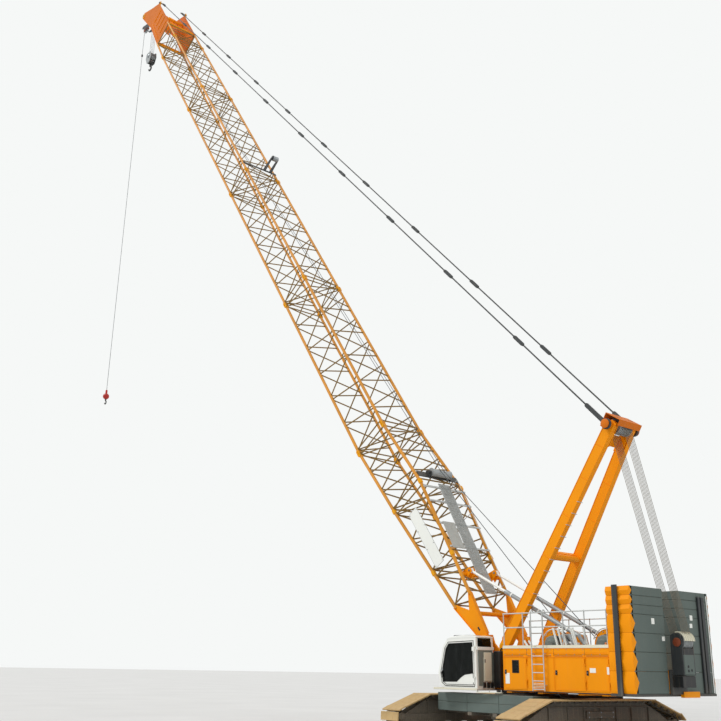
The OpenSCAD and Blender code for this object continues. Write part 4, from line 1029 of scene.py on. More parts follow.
    def fittings(self) -> None:
        """Build the walkway, the blank board, the rope rollers and their brackets."""
        lean, lift = atan(0.202 / 1.9), 0.0372
        sloped = self.place() @ moved((2, 0, 0.263)) @ Matrix.Rotation(-lean, 4, "Y")
        piece = Piece("boom_walkway_grating", "boom", sloped)
        for s in (0.15, 0.75, 1.35, 1.75):
            y = 0.617 + 0.028 * s
            piece.add(block((s - 0.02, -y, lift), (s + 0.02, y, lift + 0.03), 0.003), RAIL)
        level = lift + 0.026
        strips = [block((-1.0, y, level), (1.86, y + 0.006, level + 0.02), 0)
                  for y in [-0.17 + 0.026 * k for k in range(14)]]
        piece.add(strips, RAIL)
        ties = [block((-1.0 + 0.05 * k, -0.17, level + 0.004), (-0.994 + 0.05 * k, 0.17, level + 0.014), 0)
                for k in range(58)]
        piece.add(ties, RAIL)
        piece.add(block((0.1, 0.21, level), (0.78, 0.57, level + 0.016), 0.003), TREAD)
        posts = [rod((s, -0.16, level), (s, -0.16, level + 0.3), 0.008, 8) for s in (-0.95, -0.05, 0.9, 1.8)]
        piece.add(posts + [rod((-0.95, -0.16, level + 0.3), (1.8, -0.16, level + 0.3), 0.006, 8)], RAIL)
        piece.done("boom_walkway")
        roller = Piece("boom_rope_rollers", "boom", self.place())
        s = self.foot + 2 * self.insert + 0.35
        top = self.high + 0.56
        bracket = [(s - 0.09, self.high + 0.05), (s + 0.09, self.high + 0.05), (s + 0.045, top + 0.03),
                   (s + 0.02, top + 0.045), (s - 0.02, top + 0.045), (s - 0.045, top + 0.03)]
        for y in (-0.42, -0.18):
            roller.add(sheet_plate(bracket, 0.016, y, 0.003), DARK)
        roller.add(sheave(s, top, 0.09, 0.2, -0.3, 0.02), BRIGHT)
        roller.add(cross_rod(s, top, 0.019, 0.29, -0.3), BRIGHT)
        roller.add(block((s - 0.05, -0.655, self.high + 0.039), (s + 0.05, 0.655, self.high + 0.058), 0.004), DARK)
        roller.done("boom_rope_roller")
        board = Piece("boom_blank_board", "boom", self.place())
        y = 0.665
        outline = [(2.0, -0.255), (3.5, -0.255), (3.5, 0.025), (2.0, 0.025)]
        board.add(sheet_plate(outline, 0.006, y, 0.002), WHITE)
        rim = [rod((x0, y, z0), (x1, y, z1), 0.006, 8) for (x0, z0),
               (x1, z1) in zip(outline, outline[1:] + outline[:1])]
        board.add(rim, RAIL)
        eyes = [facing((x, y + 0.004, z), (0, 1, 0)) for x in (2.04, 2.5, 3.0, 3.46) for z in (-0.235, 0.005)]
        board.add(bolts(eyes, 0.007), BRIGHT)
        board.done("boom_sign")
        extra = Piece("boom_foot_roller", "boom", self.place())
        extra.add(lathe([(0.001, -0.3), (0.1, -0.3), (0.1, -0.285), (0.084, -0.27), (0.084, 0.27), (0.1, 0.285),
                         (0.1, 0.3), (0.001, 0.3)],
                        along_y(4.12, 0.6), 28), SILVER)
        extra.add(cross_rod(4.12, 0.6, 0.03, 0.72), DARK)
        stand = [(4.0, 0.5), (4.24, 0.5), (4.16, 0.63), (4.08, 0.63)]
        for y in (-0.33, 0.33):
            extra.add(sheet_plate(stand, 0.014, y), DARK)
        extra.add(block((4.04, -0.64, 0.484), (4.2, 0.64, 0.504), 0.003), DARK)
        extra.done()

    def build(self) -> None:
        """Build the whole boom."""
        self.foot_section()
        self.inserts()
        self.head_section()
        self.whip()
        self.fittings()


# Undercarriage


@dataclass
class Undercarriage:
    """Tracks, wheels and carbody, turned under the upper machine."""

    turn: float = 82.0
    gauge: float = 3.56
    shoe_w: float = 0.61
    shoes: int = 51
    band: float = 0.034
    circles: tuple[Triple, ...] = (
        (1.915, 0.185, 0.159), (1.25, 0.44, 0.154), (-1.25, 0.44, 0.154), (-1.915, 0.185, 0.159))
    box_w: float = 0.26
    cheek_t: float = 0.036
    rollers: int = 9

    def place(self, side: Side | None = None) -> Matrix:
        """The undercarriage's frame, or that of one of its tracks."""
        turn = Matrix.Rotation(radians(self.turn), 4, "Z")
        return turn @ moved((0, side.value * self.gauge / 2, 0)) if side else turn

    def run_angle(self, k: int) -> float:
        """The outward angle of the straight run that follows a bend."""
        a, b = self.circles[k], self.circles[(k + 1) % 4]
        dx, dz = b[0] - a[0], b[1] - a[1]
        return atan2(dz, dx) - acos((a[2] - b[2]) / hypot(dx, dz))

    def stations(self) -> list[Triple]:
        """Each shoe's place on the loop, as (x, z, outward angle).

        Returns:
            The places, in order round the loop.
        """
        legs = []
        for k, (x, z, r) in enumerate(self.circles):
            start, end = self.run_angle((k + 3) % 4), self.run_angle(k)
            sweep = (end - start) % tau
            b = self.circles[(k + 1) % 4]
            run = sqrt((b[0] - x) ** 2 + (b[1] - z) ** 2 - (r - b[2]) ** 2)
            legs.append((x, z, r, start, sweep, run))
        total = sum(r * sweep + run for _, _, r, _, sweep, run in legs)
        found = []
        for k in range(self.shoes):
            left = (k + 0.5) * total / self.shoes
            for x, z, r, start, sweep, run in legs:
                if left <= r * sweep:
                    a = start + left / r
                    found.append((x + r * cos(a), z + r * sin(a), a))
                    break
                left -= r * sweep
                if left <= run:
                    a = start + sweep
                    found.append((x + r * cos(a) - left * sin(a), z + r * sin(a) + left * cos(a), a))
                    break
                left -= run
        return found

    def shoe(self) -> list[tuple[Shape, Finish]]:
        """One shoe with its sunk tread, its links and its pins, at the origin.

        Returns:
            The shapes, each with its finish.
        """
        half = 0.0826
        pad = block((-half, -self.shoe_w / 2, 0), (half, self.shoe_w / 2, 0.026), 0)
        edit("DESELECT", "FACE")
        leave()
        for face in pad.data.polygons:
            face.select = face.normal.z > 0.9
        bpy.ops.object.mode_set(mode="EDIT")
        bpy.ops.mesh.inset(thickness=0.016, depth=0)
        bpy.ops.mesh.inset(thickness=0.006, depth=-0.007)
        leave()
        soften(pad, 0.003)
        ribs = [block((-half + 0.018, y - 0.008, 0.015), (half - 0.018, y + 0.008, 0.023), 0.003)
                for y in (-0.12, 0.12)]
        links = [block((-half - 0.004, y - 0.028, -self.band + 0.002), (half - 0.006, y + 0.028, 0.004), 0.006)
                 for y in (-0.1, 0.1)]
        lugs = [block((-0.03, y - 0.02, -self.band), (0.03, y + 0.02, 0.002), 0.005) for y in (-0.22, 0.22)]
        pin = rod((half, -0.15, -0.016), (half, 0.15, -0.016), 0.011, 8)
        return [(join([pad, *ribs]), SHOE), (join([*links, *lugs, pin]), DARK)]

    def tracks(self) -> None:
        """Lay the shoes round both loops."""
        for side, node in ((Side.LEFT, "track_near"), (Side.RIGHT, "track_far")):
            piece = Piece(node + "_shoes", "undercarriage", self.place(side))
            places = []
            for x, z, a in self.stations():
                out, run = Vector((cos(a), 0, sin(a))), Vector((-sin(a), 0, cos(a)))
                turn = Matrix((run, (0, -1, 0), out)).transposed().to_4x4()
                places.append(moved((x, 0, z)) @ turn)
            for shape, finish in self.shoe():
                piece.add(copied(shape, places), finish)
            piece.done(node)

    def wheels(self) -> None:
        """Turn the flanged rollers and the end wheels, with their hub covers and bolts."""
        piece = Piece("track_rollers_and_wheels", "undercarriage")
        end_x, end_z, radius = self.circles[0][0], self.circles[0][1], 0.1226
        h = self.box_w / 2 - 0.006
        rim = [(0.03, -h), (0.06, -h), (0.066, -0.05), (0.092, -0.05), (0.1, -h), (radius, -h + 0.004),
               (radius, -0.03),
               (radius - 0.014, -0.02), (radius - 0.014, 0.02), (radius, 0.03), (radius, h - 0.004), (0.1, h),
               (0.092, 0.05), (0.066, 0.05), (0.06, h), (0.03, h)]
        roller = [(0.02, -h), (0.06, -h), (0.083, -h + 0.01), (0.083, -h + 0.03), (0.076, -h + 0.035),
                  (0.076, h - 0.035), (0.083, h - 0.03), (0.083, h - 0.01), (0.06, h), (0.02, h)]
        hub = [(0.001, 0), (0.085, 0), (0.085, 0.012), (0.066, 0.03), (0.04, 0.034), (0.036, 0.05), (0.001, 0.052)]
        span = 2 * end_x - 2 * radius - 2 * 0.078 - 0.06
        cheek = self.box_w / 2 + self.cheek_t
        for side in Side:
            at = self.place(side)
            ends = [at @ along_y(x, end_z) for x in (-end_x, end_x)]
            piece.add(copied(lathe(rim, steps=36), ends), DARK)
            lines = [at @ along_y(-span / 2 + span * k / (self.rollers - 1), 0.139) for k in range(self.rollers)]
            piece.add(copied(lathe(roller, steps=20), lines), BRIGHT)
            covers = [at @ Matrix.Scale(s, 4, (0, 1, 0)) @ along_y(x, end_z, cheek) for s in (-1, 1)
                      for x in (-end_x, end_x)]
            piece.add(copied(lathe(hub, steps=28), covers), DARK)
            heads = [at @ facing((u, s * (cheek + 0.012), w), (0, s, 0)) for s in (-1, 1) for x in (-end_x, end_x)
                     for u, w in arc(x, end_z, 0.074, range(0, 360, 45))]
            piece.add(bolts(heads, 0.006), BRIGHT)
        piece.done("track_wheels")

    def frame_details(self) -> None:
        """Add ribs, plates and bolts to the track frames and the carbody."""
        piece = Piece("undercarriage_fittings", "undercarriage")
        for side in Side:
            at = self.place(side)
            ribs = [block((x - 0.008, 0.128, 0.2), (x + 0.008, 0.158, 0.48), 0.002)
                    for x in (-1.25, -0.8, -0.4, 0.0, 0.4, 0.8, 1.25)]
            rail = block((-1.28, 0.128, 0.48), (1.28, 0.162, 0.495), 0.002)
            boxes = block((-0.35, 0.128, 0.3), (0.35, 0.17, 0.42), 0.006)
            flank = copied(join([*ribs, rail, boxes]), (UNMOVED, MIRROR))
            piece.add(copied(flank, (at,)), DARK)
            heads = [at @ facing((x, s * 0.17, z), (0, s, 0)) for s in (-1, 1) for x in (-0.3, 0.0, 0.3)
                     for z in (0.32, 0.4)]
            piece.add(bolts(heads, 0.009), BRIGHT)
        turn = self.place()
        caps = []
        for x in (-0.52, 0.52):
            for y in (-1, 1):
                caps.append(block((x - 0.22, y * 1.3 - 0.03, 0.252), (x + 0.22, y * 1.3 + 0.03, 0.575), 0.006))
                for k in (-1, 1):
                    caps.append(block((x + k * 0.1 - 0.01, y * 1.05 - 0.24, 0.558),
                                      (x + k * 0.1 + 0.01, y * 1.05 + 0.24, 0.58), 0.003))
        piece.add(copied(join(caps), (turn,)), DARK)
        heads = [turn @ facing((x + dx, y * 1.334, z), (0, y, 0)) for x in (-0.52, 0.52) for y in (-1, 1)
                 for dx in (-0.17, 0.17) for z in (0.3, 0.42, 0.53)]
        piece.add(bolts(heads, 0.011), BRIGHT)
        hoses = [tube([(x, 0.3 * k, 0.5), (x + 0.12, 0.5 * k, 0.62), (x + 0.1, 0.9 * k, 0.6), (x, 1.35 * k, 0.52)],
                      0.012, 8)
                 for x in (-0.3, -0.26, 0.26, 0.3) for k in (-1, 1)]
        piece.add(copied(join(hoses), (turn,)), RUBBER)
        piece.done()

    def ballast(self) -> None:
        """Shape the carbody's ballast slabs."""
        piece = Piece("carbody_ballast_slabs", "undercarriage", self.place())
        width, step = 2.85, 0.95
        for x in (-1, 1):
            for layer in range(2):
                for k in range(3):
                    low = (x * 0.9505 - 0.2, -width / 2 + k * step + 0.002, 0.321 + layer * 0.1685)
                    high = (x * 0.9505 + 0.2, -width / 2 + (k + 1) * step - 0.002, 0.4885 + layer * 0.1685)
                    piece.add(block(low, high, 0.008), SLAB)
        piece.done("car_ballast")

    def build(self) -> None:
        """Build the undercarriage's looks."""
        self.tracks()
        self.wheels()
        self.frame_details()
        self.ballast()


# Upper machine


@dataclass
class House:
    """The machinery houses, their doors, deck edges, rails and what stands between them."""

    y: float = 1.2
    rear: float = -2.85
    left_front: float = -0.45
    right_front: float = 0.9
    low: float = 0.74
    deck: float = 1.5145
    edges: tuple[float, ...] = (-0.462, -1.025, -1.655, -2.335, -2.838)
    door_low: float = 0.76
    door_high: float = 1.375
    drum_z: float = 1.56
    rope_turns: int = 30

    def strip(self, x0: float, x1: float, z0: float, z1: float, proud: float = 0.004) -> Shape:
        """A thin plate on the left side wall."""
        return block((x0, self.y - 0.002, z0), (x1, self.y + proud, z1), 0.0015)

    def walls(self, side: Side) -> None:
        """Add seams, sills, vents and plates to one house, with its grooves drawn as dark strips of painted shade.

        Args:
            side: The side that the house is on.
        """
        piece = Piece(f"house_{side.name.lower()}_fittings", "upper", flip=side is Side.RIGHT)
        front = self.left_front if side is Side.LEFT else self.right_front
        starts = [front - 0.03, -1.04, -1.675, -2.36]
        ends = [-0.95, -1.6, -2.29, self.rear + 0.03]
        # The grooves are thin red-brown strips: painted shade standing in for the recess of each pressed groove.
        grooves = [self.strip(b, a, 1.345, 1.357, 0.002) for a, b in zip(starts, ends) if a > b]
        piece.add(grooves, RUST_ORANGE)
        piece.add(self.strip(self.rear + 0.01, front - 0.01, 1.326, 1.334, 0.009), ORANGE)
        piece.add(self.strip(self.rear, front, self.low - 0.014, self.low + 0.004, 0.012), GRIME)
        piece.add(block((self.rear, self.y - 0.004, 1.482), (front, self.y + 0.012, 1.506), 0.003), CREAM)
        piece.add(block((self.rear, self.y - 0.014, 1.504), (front, self.y + 0.004, 1.536), 0.002), CREAM)
        seams = [self.strip(x - 0.003, x + 0.003, 1.36, 1.47, 0.001) for x in self.edges[1:4]]
        piece.add(seams, GRIME)
        heads = [facing((x, self.y, z), (0, 1, 0)) for z in (1.376, 1.455) for x in
                 [front - 0.05 - 0.18 * k for k in range(int((front - self.rear - 0.1) / 0.18) + 1)]]
        piece.add(bolts(heads, 0.005), BRIGHT)
        for x in (front, self.rear):
            out = 1 if x == front else -1
            slats = [block((x - 0.004, 0.79, z), (x + out * 0.012, 1.11, z + 0.012), 0.002) for z in
                     [0.95 + 0.03 * k for k in range(12)]]
            piece.add(slats, GRIME)
            rim = [block((x - 0.004, 0.77, 0.93), (x + out * 0.014, 0.79, 1.33), 0.002),
                   block((x - 0.004, 1.11, 0.93), (x + out * 0.014, 1.13, 1.33), 0.002)]
            piece.add(rim, ORANGE)
        if side is Side.RIGHT:
            slats = [self.strip(-0.3, 0.75, z, z + 0.014, 0.014) for z in [0.9 + 0.036 * k for k in range(11)]]
            piece.add(slats, GRIME)
            rim = [self.strip(-0.33, 0.78, 0.87, 0.89, 0.01), self.strip(-0.33, 0.78, 1.29, 1.31, 0.01)]
            piece.add(rim, ORANGE)
            piece.add(rod((0.2, 1.0, self.deck), (0.2, 1.0, self.deck + 0.42), 0.05, 24, 0.006), GRIME)
            piece.add(tube([(0.2, 1.0, self.deck + 0.4), (0.2, 1.0, self.deck + 0.5), (0.12, 1.0, self.deck + 0.56)],
                           0.046, 16), SILVER)
            lid = block((-0.45, 0.78, self.deck), (0.0, 1.12, self.deck + 0.14), 0.02)
            piece.add(lid, ORANGE)
        piece.done()

    def doors(self, side: Side) -> None:
        """Dress each door with pressed edges, a latch, and its window or vents.

        Args:
            side: The side that the doors are on.
        """
        for k, place in ((0, "front"), (2, "middle"), (3, "rear")):
            name = f"door_{side.name.lower()}_{place}"
            piece = Piece(name + "_fittings", name, flip=side is Side.RIGHT)
            a, b = self.edges[k] - 0.012, self.edges[k + 1] + 0.012
            mid = (self.door_low + self.door_high) / 2
            rim = [self.strip(b + 0.02, a - 0.02, z, z + 0.005, 0.003)
                   for z in (self.door_low + 0.03, self.door_high - 0.04)]
            rim += [self.strip(x, x + 0.005, self.door_low + 0.03, self.door_high - 0.035, 0.003)
                    for x in (b + 0.02, a - 0.025)]
            piece.add(rim, ORANGE)
            piece.add(self.strip(a - 0.055, a - 0.012, mid - 0.04, mid + 0.04, 0.005), GRIME)
            piece.add(rod((a - 0.033, self.y + 0.004, mid), (a - 0.033, self.y + 0.022, mid), 0.014, 16, 0.003),
                      BRIGHT)
            piece.add(block((a - 0.039, self.y + 0.02, mid - 0.03), (a - 0.027, self.y + 0.028, mid + 0.012), 0.003),
                      GRIME)
            if k == 0 and side is Side.LEFT:
                piece.add(self.strip(-0.834, -0.669, 1.05, 1.278, 0.006), RUBBER)
                piece.add(self.strip(-0.822, -0.681, 1.062, 1.266, 0.008), GLASS)
                piece.add(self.strip(-0.601, -0.5, 0.86, 1.046, 0.003), WHITE)
            elif k == 3 and side is Side.LEFT:
                piece.add(self.strip(-2.554, -2.43, 1.074, 1.15, 0.003), WHITE)
                piece.add(self.strip(-2.83, -2.785, 1.05, 1.17, 0.003), WHITE)
            elif side is Side.RIGHT:
                slats = [self.strip(b + 0.1, a - 0.1, z, z + 0.012, 0.012)
                         for z in [0.86 + 0.032 * q for q in range(6)]]
                piece.add(slats, GRIME)
            piece.done()

    def ladder(self) -> None:
        """Replace the ladder with round rungs, feet and a grab hoop."""
        piece = Piece("side_ladder", "upper")
        x, y, z0, top = -1.335, 1.26, 0.745, 2.124
        posts = [rod((x + s * 0.135, y, z0), (x + s * 0.135, y, top), 0.011, 12, 0.002) for s in (-1, 1)]
        rungs = [rod((x - 0.135, y, 0.775 + 0.143 * k), (x + 0.135, y, 0.775 + 0.143 * k), 0.009, 10)
                 for k in range(6)]
        feet = [block((x + s * 0.135 - 0.008, 1.2005, z), (x + s * 0.135 + 0.008, y, z + 0.016), 0.002)
                for s in (-1, 1) for z in (0.84, 1.38)]
        piece.add(posts + rungs + feet, RAIL)
        treads = [block((x - 0.13, y - 0.006, z), (x + 0.13, y + 0.01, z + 0.008), 0)
                  for z in (0.8, 0.825, 0.85, 0.875)]
        piece.add(treads, CREAM)
        hoops = [tube([(x + s * 0.135, y, top - 0.01), (x + s * 0.135, y - 0.04, top + 0.03),
                       (x + s * 0.135, 1.18, top + 0.01)], 0.011, 10) for s in (-1, 1)]
        piece.add(hoops, RAIL)
        piece.done("ladder")

    def rails(self) -> None:
        """Replace the handrails with round tubes, post caps and feet."""
        piece = Piece("deck_handrails", "upper")
        y, z0, h = self.y - 0.02, self.deck + 0.0005, 0.61
        for side, x1, posts in ((1, self.left_front - 0.02, 6), (-1, self.right_front - 0.02, 8)):
            x0 = self.rear + 0.03
            spots = [x0 + (x1 - x0) * k / (posts - 1) for k in range(posts)]
            runs = [((x, side * y, z0), (x, side * y, z0 + h)) for x in spots]
            runs += [((x0, side * y, z), (x1, side * y, z)) for z in (z0 + h - 0.011, z0 + h * 0.58 - 0.011)]
            piece.add(bars(runs, 0.011, 12), RAIL)
            caps = [moved((x, side * y, z0 + h - 0.011)) for x in spots]
            piece.add(copied(lathe([(0.001, -0.016), (0.014, -0.016), (0.016, 0), (0.014, 0.014), (0.001, 0.017)],
                                   steps=12), caps), RAIL)
            feet = [block((x - 0.025, side * y - 0.02, z0), (x + 0.025, side * y + 0.02, z0 + 0.008), 0.002)
                    for x in spots]
            piece.add(feet, RAIL)
        piece.done("handrails")

    def winches(self) -> None:
        """Dress the winches: grooved rope layers, flanges, motors, gearboxes, hoses and guards."""
        z = self.drum_z
        for x, body, node in ((-0.95, "front_drum", "hoist_drum_front"), (-2.15, "rear_drum", "hoist_drum_rear")):
            drum = Piece(node + "_dressed", body)
            flange = [(0.19, 0), (0.262, 0), (0.28, 0.006), (0.28, 0.018), (0.262, 0.024), (0.19, 0.024)]
            for y in (-0.272, 0.248):
                drum.add(lathe(flange, along_y(x, z, y), 40), ORANGE)
            profile = [(0.04, -0.274), (0.19, -0.274)]
            for k in range(self.rope_turns):
                y = -0.246 + 0.492 * k / self.rope_turns
                profile += [(0.225, y), (0.232, y + 0.004), (0.232, y + 0.0124)]
            profile += [(0.19, 0.274), (0.04, 0.274)]
            drum.add(lathe(profile, along_y(x, z), 28), ROPE)
            drum.add(cross_rod(x, z, 0.04, 0.69, sides=24), BRIGHT)
            heads = [facing((u, s * 0.272, w), (0, s, 0)) for s in (-1, 1) for u,
                     w in arc(x, z, 0.24, range(0, 360, 36))]
            drum.add(bolts(heads, 0.009), BRIGHT)
            drum.done(node)
        piece = Piece("winch_machinery", "upper")
        for x in (-0.95, -2.15):
            gear = [(0.001, 0), (0.17, 0), (0.175, 0.03), (0.15, 0.06), (0.1, 0.07), (0.08, 0.12), (0.001, 0.125)]
            piece.add(lathe(gear, along_y(x, z, 0.339), 28), TRIM)
            motor = [(0.001, 0), (0.07, 0), (0.07, 0.05), (0.055, 0.07), (0.055, 0.11), (0.001, 0.115)]
            piece.add(copied(lathe(motor, along_y(x, z, 0.339), 20), (MIRROR,)), SILVER)
            for side in (-1, 1):
                guard = [(u, side * 0.285, w) for u, w in arc(x, z, 0.3, range(20, 161, 14))]
                piece.add(tube(guard, 0.012, 8), WHITE)
            ties = [rod((u, -0.285, w), (u, 0.285, w), 0.01, 8) for u, w in arc(x, z, 0.3, (40, 90, 140))]
            piece.add(ties, WHITE)
            hoses = [tube([(x + 0.03, -0.44 - 0.02 * k, z), (x + 0.2, -0.5 - 0.03 * k, 1.62), (x + 0.3, -0.46, 1.4),
                           (x + 0.3 + 0.03 * k, -0.44, 1.16)], 0.012, 8) for k in range(3)]
            piece.add(hoses, RUBBER)
        piece.done()

    def clutter(self) -> None:
        """Add the tanks, valve blocks and braces seen behind the rails."""
        piece = Piece("deck_machinery", "upper")
        tank = block((-1.72, 0.36, 1.1), (-1.36, 0.47, 1.62), 0.03)
        piece.add(tank, WHITE)
        piece.add(block((-0.56, 0.1, 1.15), (-0.3, 0.42, 1.52), 0.03), WHITE)
        fins = [block((-0.57, 0.12 + 0.03 * k, 1.2), (-0.29, 0.128 + 0.03 * k, 1.5), 0) for k in range(10)]
        piece.add(fins, TRIM)
        valves = [block((-1.5 + 0.05 * k, -0.42, 1.1), (-1.47 + 0.05 * k, -0.3, 1.42), 0.006) for k in range(5)]
        piece.add(valves, SILVER)
        hoses = [tube([(-1.49 + 0.05 * k, -0.36, 1.41), (-1.4 + 0.03 * k, -0.32, 1.56),
                       (-1.25, -0.36 + 0.02 * k, 1.5), (-1.18, -0.38, 1.15)], 0.011, 8) for k in range(5)]
        piece.add(hoses, RUBBER)
        slants = ((-0.62, 0.66), (-0.68, 0.6), (-1.3, 0.62), (-1.36, 0.56), (-1.52, 0.64), (-1.68, 0.58),
                  (-1.78, 0.66), (-1.9, 0.5))
        arms = [rod((x, y, 1.52), (x + 0.1, y, 1.64 if x > -1 else 1.86), 0.02, 10, 0.004) for x, y in slants]
        piece.add(arms, WHITE)
        cylinders = [rod((x, 0.52, 1.56), (x + 0.14, 0.52, 1.74), 0.036, 14, 0.006) for x in (-1.46, -1.62, -1.84)]
        piece.add(cylinders, SILVER)
        caps = [lathe([(0.001, 0), (0.05, 0), (0.05, 0.02), (0.03, 0.034), (0.001, 0.036)],
                      moved((-1.54, 0.415, 1.62)), 20)]
        piece.add(caps, GRIME)
        piece.done()

    def girders(self) -> None:
        """Add flanges, pins, bolts and the swing gear to the main frame."""
        piece = Piece("main_frame_fittings", "upper")
        for x in (-2.5, -1.9, -1.1, -0.2, 0.2):
            piece.pair(block((x - 0.006, 0.508, 0.74), (x + 0.006, 0.545, 1.17), 0.002), ORANGE)
        strip = block((-2.84, 0.462, 1.18), (-0.3, 0.535, 1.192), 0.002)
        piece.pair(strip, ORANGE)
        boss = [(0.046, 0), (0.095, 0), (0.095, 0.012), (0.07, 0.022), (0.046, 0.022)]
        piece.pair(lathe(boss, along_y(0.51, 1.668, 0.67), 32), CAST_ORANGE)
        piece.pair(lathe([(0.001, 0), (0.06, 0), (0.06, 0.012), (0.001, 0.014)], along_y(0.51, 1.668, 0.697), 24),
                   BRIGHT)
        motor = [(0.001, 0), (0.11, 0), (0.11, 0.16), (0.09, 0.19), (0.07, 0.2), (0.07, 0.34), (0.05, 0.36),
                 (0.001, 0.36)]
        for y in (-0.28, 0.28):
            piece.add(lathe(motor, moved((0.52, y, 0.76)), 24), SILVER)
        lamp = lathe([(0.001, 0), (0.03, 0), (0.034, 0.03), (0.028, 0.06), (0.001, 0.066)],
                     moved((-2.7, 1.05, self.deck)), 18)
        piece.add(lamp, AMBER)
        ring = [facing((x, y, 0.7), (x, y, 0)) for x, y in arc(0, 0, 0.6, range(0, 360, 9))]
        piece.add(bolts(ring, 0.009), BRIGHT)
        piece.done()

    def build(self) -> None:
        """Build the houses' looks and the machinery between them."""
        for side in Side:
            self.walls(side)
            self.doors(side)
        self.ladder()
        self.rails()
        self.winches()
        self.clutter()
        self.girders()


# Cab


def inset(points: Sequence[Pair], gap: float) -> list[Pair]:
    """Draw a convex outline, given counter-clockwise, in by a gap.

    Args:
        points: The outline's corners.
        gap: How far each side moves in.

    Returns:
        The corners of the smaller outline.
    """
    found = []
    for k, here in enumerate(points):
        a = (Vector(here) - Vector(points[k - 1])).normalized()
        b = (Vector(points[(k + 1) % len(points)]) - Vector(here)).normalized()
        inward = Vector((-a.y - b.y, a.x + b.x)) * gap / (1 + a.dot(b))
        found.append((here[0] + inward.x, here[1] + inward.y))
    return found


def seal(points: Sequence[Triple], radius: float = 0.008) -> Shape:
    """A rubber seal round an opening with the given corners."""
    return bars(zip(points, [*points[1:], points[0]]), radius, 8)


def inflated(shape: Shape, cap: float, pressure: float = 4.0) -> Shape:
    """Swell a pad by simulated cloth, no point further than the cap.

    Args:
        shape: The pad's slightly smaller form, as a closed mesh.
        cap: The furthest that a point may move.
        pressure: The pressure inside it.

    Returns:
        The swollen pad.
    """
    deselect()
    shape.select_set(True)
    bpy.context.view_layer.objects.active = shape
    remesh = shape.modifiers.new("voxels", "REMESH")
    remesh.mode, remesh.voxel_size = "VOXEL", 0.006
    bpy.ops.object.modifier_apply(modifier=remesh.name)
    before = [vertex.co.copy() for vertex in shape.data.vertices]
    cloth = shape.modifiers.new("cloth", "CLOTH")
    cloth.settings.use_pressure = True
    cloth.settings.uniform_pressure_force = pressure
    cloth.settings.effector_weights.gravity = 0.0
    for number in range(1, 21):
        bpy.context.scene.frame_set(number)
    bpy.ops.object.modifier_apply(modifier=cloth.name)
    bpy.context.scene.frame_set(1)
    for vertex, start in zip(shape.data.vertices, before):
        move = vertex.co - start
        if move.length > cap:
            vertex.co = start + move.normalized() * cap
    finer = shape.modifiers.new("finer", "SUBSURF")
    finer.levels = finer.render_levels = 1
    bpy.ops.object.modifier_apply(modifier=finer.name)
    return shape


